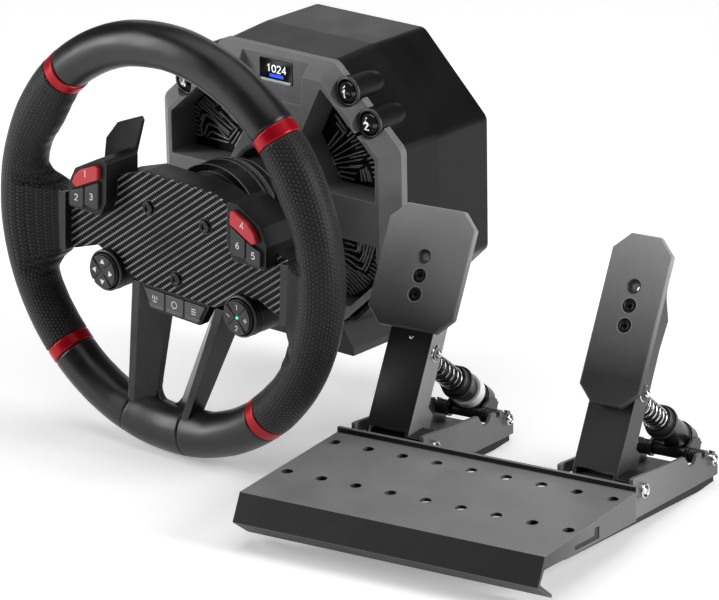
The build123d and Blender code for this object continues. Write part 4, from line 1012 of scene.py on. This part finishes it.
# centre keys: three upright ticks, a ring, three level bars, and a knurled lower edge
CENTRE_X = {"left": (-17.6, -24.9, -9.8), "middle": (0.0, -7.4, 7.4), "right": (17.6, 9.8, 24.9)}
for side, (cx, xa, xb) in CENTRE_X.items():
    body = f"centre_key_{side}"
    if side == "left":
        lines = [[(cx + 1.9 * i, -49.1 + (0.8 if i else 0.0)), (cx + 1.9 * i, -45.7)] for i in (-1, 0, 1)]
        lines.append([(cx - 1.9, -49.6), (cx, -50.2), (cx + 1.9, -49.6)])
        closed = False
    elif side == "middle":
        lines, closed = [circle_pts(cx, -47.7, 2.3)], True
    else:
        lines, closed = [[(cx - 2.0, -47.7 + 1.7 * i), (cx + 2.0, -47.7 + 1.7 * i)] for i in (-1, 0, 1)], False
    strips(f"mark_{body}", lines, 0.62, -156.14, -155.95, "mark", body, MW, slot_of[body], closed=closed, bev=0.03)
    v, f = [], []
    for row in range(3):
        z = -54.1 + 0.95 * row
        lo = xa + (2.9 - 1.15 * row if side == "left" else 0.0)
        hi = xb - (2.9 - 1.15 * row if side == "right" else 0.0)
        n = int((hi - lo) / 1.05)
        for i in range(n):
            x = lo + 0.6 + 1.05 * i + (0.5 if row % 2 else 0.0)
            if x > hi - 0.3:
                continue
            b = len(v)
            v += [(x - 0.42, -155.95, z - 0.4), (x + 0.42, -155.95, z - 0.4), (x + 0.42, -155.95, z + 0.4),
                  (x - 0.42, -155.95, z + 0.4), (x - 0.14, -156.3, z - 0.13), (x + 0.14, -156.3, z - 0.13),
                  (x + 0.14, -156.3, z + 0.13), (x - 0.14, -156.3, z + 0.13)]
            f += [(b, b + 3, b + 2, b + 1), (b + 4, b + 5, b + 6, b + 7)]
            f += [(b + q, b + (q + 1) % 4, b + 4 + (q + 1) % 4, b + 4 + q) for q in range(4)]
    make(f"knurl_{side}", v, f, "rib", body, MW, smooth=False, slot=slot_of[body], fix=True)

# thumb pads: four raised quarters parted by a cross groove
PAD_XZ = (61.0, -38.5)


def petal_front(r):
    return -161.35 - 0.75 * (max(0.0, r) / 12.0) ** 1.6


def petal(cx, cz, mid_deg):
    half, ri, ro, nr, na = 45.0, 1.9, 11.75, 8, 16
    verts, faces = [], []
    gap = 1.1
    rings = []
    for i in range(nr + 1):
        r = ri + (ro - ri) * i / nr
        lim = math.degrees(math.asin(min(0.99, gap / r)))
        row = []
        for j in range(na + 1):
            a = math.radians(mid_deg - half + lim + (2 * half - 2 * lim) * j / na)
            y = petal_front(r)
            if i == nr:
                y += 0.75
            elif i == nr - 1:
                r_, y = ro - 0.35, petal_front(r) + 0.0
                row.append(len(verts))
                verts.append((cx + r_ * math.sin(a), y, cz + r_ * math.cos(a)))
                continue
            row.append(len(verts))
            verts.append((cx + r * math.sin(a), y, cz + r * math.cos(a)))
        rings.append(row)
    for a, b in zip(rings, rings[1:]):
        for j in range(na):
            faces.append((a[j], a[j + 1], b[j + 1], b[j]))
    rim = rings[0] + [row[-1] for row in rings[1:-1]] + rings[-1][::-1] + [row[0] for row in rings[1:-1]][::-1]
    low = []
    for q in rim:
        x, y, z = verts[q]
        low.append(len(verts))
        verts.append((x, -160.6, z))
    n = len(rim)
    for i in range(n):
        j = (i + 1) % n
        faces.append((rim[i], rim[j], low[j], low[i]))
    faces.append(tuple(low))
    return verts, faces


def tri(cx, cz, deg, r, size):
    """Solid triangle pointing away from the pad's middle."""
    a = math.radians(deg)
    d, n = Vector((math.sin(a), math.cos(a))), Vector((math.cos(a), -math.sin(a)))
    c = Vector((cx, cz)) + d * r
    return [tuple(c + d * size * 0.62), tuple(c - d * size * 0.45 + n * size * 0.62), tuple(c - d * size * 0.45 - n * size * 0.62)]


for sx, side in ((-1, "left"), (1, "right")):
    cx, cz = sx * PAD_XZ[0], PAD_XZ[1]
    body = f"thumb_pad_{side}"
    make(f"petals_{side}", *join([petal(cx, cz, 90 * q) for q in range(4)]), "key_plastic", body, MW, angle=35, slot=slot_of[body],
         fix=True)
    if side == "left":
        parts = []
        for q in range(4):
            y = petal_front(7.4)
            pts = tri(cx, cz, 90 * q, 7.4, 3.5)
            parts.append(prism(pts, y - 0.12, y + 0.3))
        make("arrows_left", *join(parts), "mark", body, MW, smooth=False, slot=slot_of[body], fix=True)
    else:
        y = petal_front(7.6)
        strips("mark_pad_plus", [[(cx + 6.1, cz), (cx + 9.3, cz)], [(cx + 7.7, cz - 1.6), (cx + 7.7, cz + 1.6)]], 0.62, y - 0.13,
               y + 0.3, "mark", body, MW, slot_of[body], bev=0.03)
        strips("mark_pad_minus", [[(cx - 9.2, cz + 0.9), (cx - 6.2, cz - 0.5)]], 0.62, y - 0.13, y + 0.3, "mark", body, MW,
               slot_of[body], bev=0.03)
        strips("mark_pad_top", number("1", cx, cz + 7.5, 3.5), 0.6, y - 0.13, y + 0.3, "mark", body, MW, slot_of[body], bev=0.03)
        strips("mark_pad_low", number("2", cx, cz - 7.5, 3.5), 0.6, y - 0.13, y + 0.3, "mark", body, MW, slot_of[body], bev=0.03)
        turned("pad_lamp", [(0.0, 0.9), (0.6, 0.75), (0.95, 0.3), (1.0, -0.4), (0.0, -0.4)], "led_green", body,
               MW @ face_y(cx, -161.0, cz), slot_of[body], 20)
    turned(f"pod_ring_{side}", [(13.15, 0.0), (13.25, 0.75), (13.6, 1.0), (14.0, 0.9), (14.35, 0.45), (14.4, 0.0)], "ring_satin",
           "wheel", MW @ face_y(cx, -157.9, cz), "hub_plastic", 64, closed=True)
    turned(f"pod_groove_{side}", [(14.4, -0.5), (14.75, -0.2), (14.75, 0.5), (14.4, 0.8)], "hub_plastic", "wheel",
           MW @ face_y(cx, -151.5, cz), "hub_plastic", 64, closed=True)

# the frame with its two wedge spokes rebuilt from their end outlines, and a curved root between them
frame_cad = nodes["spoke_frame"]
to_mm = MW.inverted() @ frame_cad.matrix_world
fv_ = [tuple(to_mm @ vert.co) for vert in frame_cad.data.vertices]
ff_ = [tuple(poly.vertices) for poly in frame_cad.data.polygons if min(fv_[i][2] for i in poly.vertices) > -60.0]
used = sorted({i for f in ff_ for i in f})
slim = {i: n for n, i in enumerate(used)}
fv_, ff_ = [fv_[i] for i in used], [tuple(slim[i] for i in f) for f in ff_]
SPOKE_TOP = [(41.5, -152.7), (34.9, -152.7), (21.3, -135.3), (21.3, -128.8), (23.0, -127.1), (41.5, -127.1)]
SPOKE_LOW = [(25.9, -173.4), (20.6, -173.4), (9.3, -165.2), (9.3, -160.5), (10.4, -159.6), (25.9, -159.6)]
for sx in (-1, 1):
    b, NS = len(fv_), 16
    for k in range(NS + 1):
        t = k / NS
        fv_ += [(sx * (x0 + (x1 - x0) * t), y0 + (y1 - y0) * t, -41.2 - 84.8 * t) for (x0, y0), (x1, y1) in zip(SPOKE_TOP, SPOKE_LOW)]
    for k in range(NS):
        for q in range(6):
            f = (b + 6 * k + q, b + 6 * k + (q + 1) % 6, b + 6 * k + 6 + (q + 1) % 6, b + 6 * k + 6 + q)
            ff_.append(f if sx > 0 else f[::-1])
    ends = (tuple(b + q for q in range(6)), tuple(b + 6 * NS + q for q in reversed(range(6))))
    ff_ += [f[::-1] if sx > 0 else f for f in ends]
frame_new = make("spoke_frame_look", fv_, ff_, "spoke_satin", "wheel", MW, angle=30, slot=slot_of["spoke_frame"], fix=True)
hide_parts("spoke_frame")
rv, rf, NA = [], [], 28
for i in range(NA + 1):
    a = math.radians(180.0 + 180.0 * i / NA)
    x, z = 12.5 * math.cos(a), -104.5 + 12.9 * math.sin(a)
    t = (-41.2 - z) / 84.8
    y0, y1 = -135.3 - 29.9 * t + 0.05, -128.8 - 31.7 * t - 0.05
    rv += [(x, y0, z), (x, y1, z), (x, y1, z - 3.0), (x, y0, z - 3.0)]
for i in range(NA):
    b, c = 4 * i, 4 * i + 4
    rf += [(b + q, b + (q + 1) % 4, c + (q + 1) % 4, c + q) for q in range(4)]
rf += [(0, 1, 2, 3), (4 * NA, 4 * NA + 3, 4 * NA + 2, 4 * NA + 1)]
make("spoke_root", rv, rf, "spoke_satin", "wheel", MW, angle=40, slot=slot_of["spoke_frame"], fix=True)

# upright trims where the plate meets the side grips
for sx, side in ((-1, "left"), (1, "right")):
    for i, (xa, xb, zt, zb, yf) in enumerate(((97.3, 99.5, 8.8, -32.6, -157.4), (100.3, 102.9, 7.6, -31.2, -158.8))):
        pts = [(sx * xa, zb), (sx * xb, zb), (sx * xb, zt), (sx * xa, zt)]
        make(f"trim_{side}_{i}", *prism(pts, yf, -146.0, 0.7, 3), "collar_plastic", "wheel", MW, angle=35, slot="collar_plastic",
             fix=True)

# ----------------------------------------------------------- pedal details
SPEC = {"brake": dict(x=BRAKE_X, half=32.6, z0=72.0, z1=155.0, holes=(95.2, 107.8, 121.0), turns=7, keep=0.829),
        "throttle": dict(x=THROTTLE_X, half=21.6, z0=47.0, z1=160.1, holes=(99.8, 113.0, 125.8), turns=8, keep=0.654)}
AXIS_Y, STRUT_END = 12.203, 95.404
PIN_ARM = (-0.942, 61.232)
for which, sp in SPEC.items():
    MA, MS = m_arm(sp["x"]) @ S_MM, m_strut(sp["x"]) @ S_MM
    arm_body, seat_body, rod_body = f"{which}_pedal", f"{which}_strut_seat", f"{which}_strut_rod"
    for i, hz in enumerate(sp["holes"][:2]):
        make(f"{which}_pad_screw_{i}", *socket_head(4.1, 2.3, 2.2, 1.9), "black_screw", arm_body, MA @ face_y(0, -15.95, hz), angle=35,
             slot="black_screw", fix=True)
        # painted highlight: a thin light ring round each lower counterbore
        turned(f"{which}_pad_rim_highlight_{i}", [(4.92, -0.35), (4.98, 0.02), (5.2, 0.13), (5.45, 0.0)], "rib", arm_body,
               MA @ face_y(0, -18.98, hz), "pedal_powder", 40, closed=True)
    turned(f"{which}_pad_sink", [(4.88, -0.1), (4.95, 0.08), (5.2, 0.08), (5.25, -0.1), (2.75, -3.1), (2.65, -3.1)], "pedal_powder",
           arm_body, MA @ face_y(0, -18.98, sp["holes"][2]), "pedal_powder", 40, closed=True)
    turned(f"{which}_pin_head", [(0.0, 2.2), (1.1, 2.05), (2.1, 1.5), (2.7, 0.7), (2.9, -0.1), (2.9, -1.5), (0.0, -1.5)],
           "spring_chrome", arm_body, MA @ face_x(18.6, *PIN_ARM), "pin_steel", 32)
    turned(f"{which}_pin_washer", [(3.3, 0.0), (3.3, 0.9), (3.9, 1.25), (5.0, 1.25), (5.7, 0.8), (5.9, 0.0)], "spring_chrome",
           arm_body, MA @ face_x(16.02, *PIN_ARM), "pin_steel", 40, closed=True)
    turned(f"{which}_pin_tail", [(0.0, 1.4), (1.6, 1.2), (2.7, 0.5), (2.9, -0.2), (0.0, -0.2)], "spring_chrome", arm_body,
           MA @ face_x(-17.6, *PIN_ARM, -1), "pin_steel", 32)
    if which == "brake":
        turned("brake_arm_screw", [(0.0, 1.0), (0.8, 0.9), (1.5, 0.5), (1.7, -0.1), (0.0, -0.1)], "spring_chrome", arm_body,
               MA @ face_y(0.6, -10.0, 68.2), "pin_steel", 24)

    # compression spring with closed ends
    z0, z1, turns, R, wr = 34.3, 83.5, sp["turns"], 7.35, 0.85
    n, m = 40 * (turns + 2), 10
    verts, faces = [], []
    for i in range(n + 1):
        t = i / 40.0
        tt = min(max(t - 1.0, 0.0), turns)
        u = tt / turns
        z = z0 + wr + (z1 - z0 - 2 * wr) * u
        if t < 1.0:
            z -= 0.0
        a = 2 * math.pi * t + 0.6
        rad = Vector((math.cos(a), math.sin(a), 0))
        for j in range(m):
            b = 2 * math.pi * j / m
            p = rad * (R + wr * math.cos(b)) + Vector((0, 0, z + wr * math.sin(b)))
            verts.append((p.x, p.y + AXIS_Y, p.z))
    for i in range(n):
        for j in range(m):
            q = (j + 1) % m
            faces.append((i * m + j, (i + 1) * m + j, (i + 1) * m + q, i * m + q))
    faces += [tuple(range(m)), tuple(n * m + j for j in reversed(range(m)))]
    coil = make(f"{which}_coil", verts, faces, "spring_chrome" if which == "throttle" else "spring_dark", seat_body, MS,
                slot=slot_of[f"{which}_spring"], fix=True)
    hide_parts(f"{which}_spring")
    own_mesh(coil)

    # thread on the spring guide, grooves of the collar, ribs of the pivot sleeves
    ridge = join([moved(lathe([(6.15, -0.5), (6.55, -0.1), (6.55, 0.25), (6.15, 0.6)], 40, True), Matrix.Translation((0, AXIS_Y, z)))
                  for z in [35.2 + 2.05 * i for i in range(11)]])
    make(f"{which}_guide_thread", *ridge, "strut_plastic", seat_body, MS, angle=40, slot="strut_plastic", fix=True)
    turned(f"{which}_collar_lip", [(11.35, -0.5), (11.65, -0.2), (11.65, 0.3), (11.35, 0.6)], "ring_satin", seat_body,
           MS @ Matrix.Translation((0, AXIS_Y, 25.4)), "strut_plastic", 56, closed=True)
    turned(f"{which}_collar_step", [(9.75, -0.6), (10.1, -0.3), (10.1, 0.3), (9.75, 0.6)], "strut_plastic", seat_body,
           MS @ Matrix.Translation((0, AXIS_Y, 30.6)), "strut_plastic", 56, closed=True)
    turned(f"{which}_guide_cap", [(3.7, 0.0), (3.8, 0.9), (4.6, 1.3), (5.6, 1.1), (6.2, 0.3), (6.2, -0.5), (3.7, -0.5)],
           "strut_plastic", seat_body, MS @ Matrix.Translation((0, AXIS_Y, 57.9)), "strut_plastic", 40, closed=True)
    for j, (xa, xb) in enumerate(((-22.4, -15.2), (15.2, 26.4))):
        prof, x = [(3.15, xa)], xa
        while x < xb - 0.2:
            prof += [(4.5, x + 0.05), (5.15, x + 0.35), (5.15, x + 1.15), (4.5, x + 1.45)]
            x += 1.85
        prof += [(4.5, xb), (3.15, xb)]
        turned(f"{which}_sleeve_{j}", prof, "strut_plastic", seat_body, MS @ Matrix.Rotation(math.pi / 2, 4, "Y"), "strut_plastic",
               36, closed=True)
    rc = sp["x"] / MM + 2.0
    for j, (yy, zz, x1, r) in enumerate(((134.0, 32.0, rc + 31.1, 4.9), (233.0, 18.7, rc + 31.0, 3.9))):
        at = MP @ face_x(x1 - 0.02, yy, zz)
        turned(f"{which}_bolt_seat_{j}", [(0.0, 0.12), (r * 0.99, 0.12), (r * 1.01, -0.3), (0.0, -0.3)], "socket", "base", at, "pin_steel", 40)
        turned(f"{which}_bolt_ring_{j}", [(r * 0.74, 0.1), (r * 0.76, 0.7), (r * 0.86, 1.0), (r * 0.96, 0.75), (r * 1.0, 0.1)],
               "spring_chrome", "base", at, "pin_steel", 40, closed=True)
        turned(f"{which}_bolt_dome_{j}", [(0.0, 1.3), (r * 0.2, 1.2), (r * 0.38, 0.85), (r * 0.5, 0.1), (0.0, 0.1)], "spring_chrome",
               "base", at, "pin_steel", 32)

# painted shade: black sheets in the angled slots of the heel's skirts stand for the shade inside them
SLOT = [(38.0, 25.8), (38.0, 29.4), (63.6, 26.8), (64.0, 32.2), (70.4, 31.0), (70.4, 22.6)]
for sx, side in ((-1, "left"), (1, "right")):
    xo, xi = sx * 110.75, sx * 108.9
    sv = [(xo, y, z) for y, z in SLOT] + [(xi, y, z) for y, z in SLOT]
    # the outline is concave, so its two ends are split into quads
    sf = [(0, 1, 2, 5), (2, 3, 4, 5), (11, 8, 7, 6), (11, 10, 9, 8)] + [(i, (i + 1) % 6, 6 + (i + 1) % 6, 6 + i) for i in range(6)]
    make(f"slot_painted_shade_{side}", sv, sf, "socket", "base", MP, smooth=False, slot="plate_powder", fix=True)
for which, sp in SPEC.items():
    MS = m_strut(sp["x"]) @ S_MM
    turned(f"{which}_sleeve_mid", [(3.15, -12.2), (3.7, -12.2), (4.0, -11.8), (4.0, 11.8), (3.7, 12.2), (3.15, 12.2)], "strut_plastic",
           f"{which}_strut_seat", MS @ Matrix.Rotation(math.pi / 2, 4, "Y"), "strut_plastic", 36, closed=True)

# small screw on the throttle's rail, below the heel's rear corner
small = MP @ face_x(77.2 + 2.0 + 27.5 - 0.02, 109.0, 27.6)
turned("rail_screw_ring", [(1.9, 0.0), (1.95, 0.8), (2.3, 1.1), (2.8, 0.8), (3.0, 0.0)], "spring_chrome", "base", small, "pin_steel", 32,
       closed=True)
turned("rail_screw_dome", [(0.0, 1.0), (0.7, 0.9), (1.3, 0.4), (1.45, 0.0), (0.0, 0.0)], "spring_chrome", "base", small, "pin_steel", 24)

# ------------------------------------------------------------------ camera
az, el, roll = math.radians(40.89), math.radians(19.59), math.radians(-1.04)
back = Vector((math.sin(az) * math.cos(el), -math.cos(az) * math.cos(el), math.sin(el)))
right = Vector((math.cos(az), math.sin(az), 0))
up = back.cross(right)
r2 = right * math.cos(roll) + up * math.sin(roll)
u2 = up * math.cos(roll) - right * math.sin(roll)
aim = Vector((0.06805, -0.048, SHAFT_Z - 0.05894))
cam_data = bpy.data.cameras.new("camera")
cam_data.sensor_width = 36.0
cam_data.lens = 4500 * 36.0 / 719
cam_data.clip_start, cam_data.clip_end = 0.1, 50
cam = bpy.data.objects.new("camera", cam_data)
scene.collection.objects.link(cam)
cam.matrix_world = Matrix(((r2.x, u2.x, back.x, 0), (r2.y, u2.y, back.y, 0), (r2.z, u2.z, back.z, 0), (0, 0, 0, 1)))
cam.location = aim + back * 3.04776
scene.camera = cam

# ------------------------------------------------------- floor and lights
FLOOR_Z = min(CAD_LO[2], box("rail_feet")[0].z)
fv = [(-40, -40, FLOOR_Z), (40, -40, FLOOR_Z), (40, 40, FLOOR_Z), (-40, 40, FLOOR_Z)]
ft = Tree("floor")
fn = ft.noise(3, 2, 0.5)
ft.set(base=ft.mix(fn, (0.93, 0.93, 0.93), (0.95, 0.95, 0.95)), rough=0.6, spec=0.2, emit=(1.0, 1.0, 1.0), emit_s=0.3)
floor = make("floor", fv, [(0, 1, 2, 3)], ft.m, None, smooth=False)
floor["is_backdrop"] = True

world = bpy.data.worlds.new("studio")
scene.world = world
world.use_nodes = True
world.node_tree.nodes["Background"].inputs[0].default_value = (1, 1, 1, 1)
world.node_tree.nodes["Background"].inputs[1].default_value = 0.05
scene.view_settings.view_transform = "Standard"


def area(name, loc, target, size, power, shape="RECTANGLE", size_y=None):
    d = bpy.data.lights.new(name, "AREA")
    d.shape = shape
    d.size = size
    if size_y:
        d.size_y = size_y
    d.energy = power
    o = bpy.data.objects.new(name, d)
    scene.collection.objects.link(o)
    o.location = loc
    o.rotation_mode = "QUATERNION"
    o.rotation_quaternion = (Vector(target) - Vector(loc)).to_track_quat("-Z", "Y")
    return o


area("sky", (0.15, 0.1, 2.4), (0.12, 0, 0), 2.6, 34, size_y=2.6)
area("key", (-1.7, -1.5, 0.85), (0.0, -0.1, 0.05), 0.75, 36, size_y=1.5)
area("rear", (-1.5, 2.3, 1.0), (0.1, 0.0, 0.05), 2.2, 7, size_y=0.9)
area("right", (2.1, 0.5, 0.8), (0.2, -0.05, 0.0), 0.9, 38, size_y=1.3)
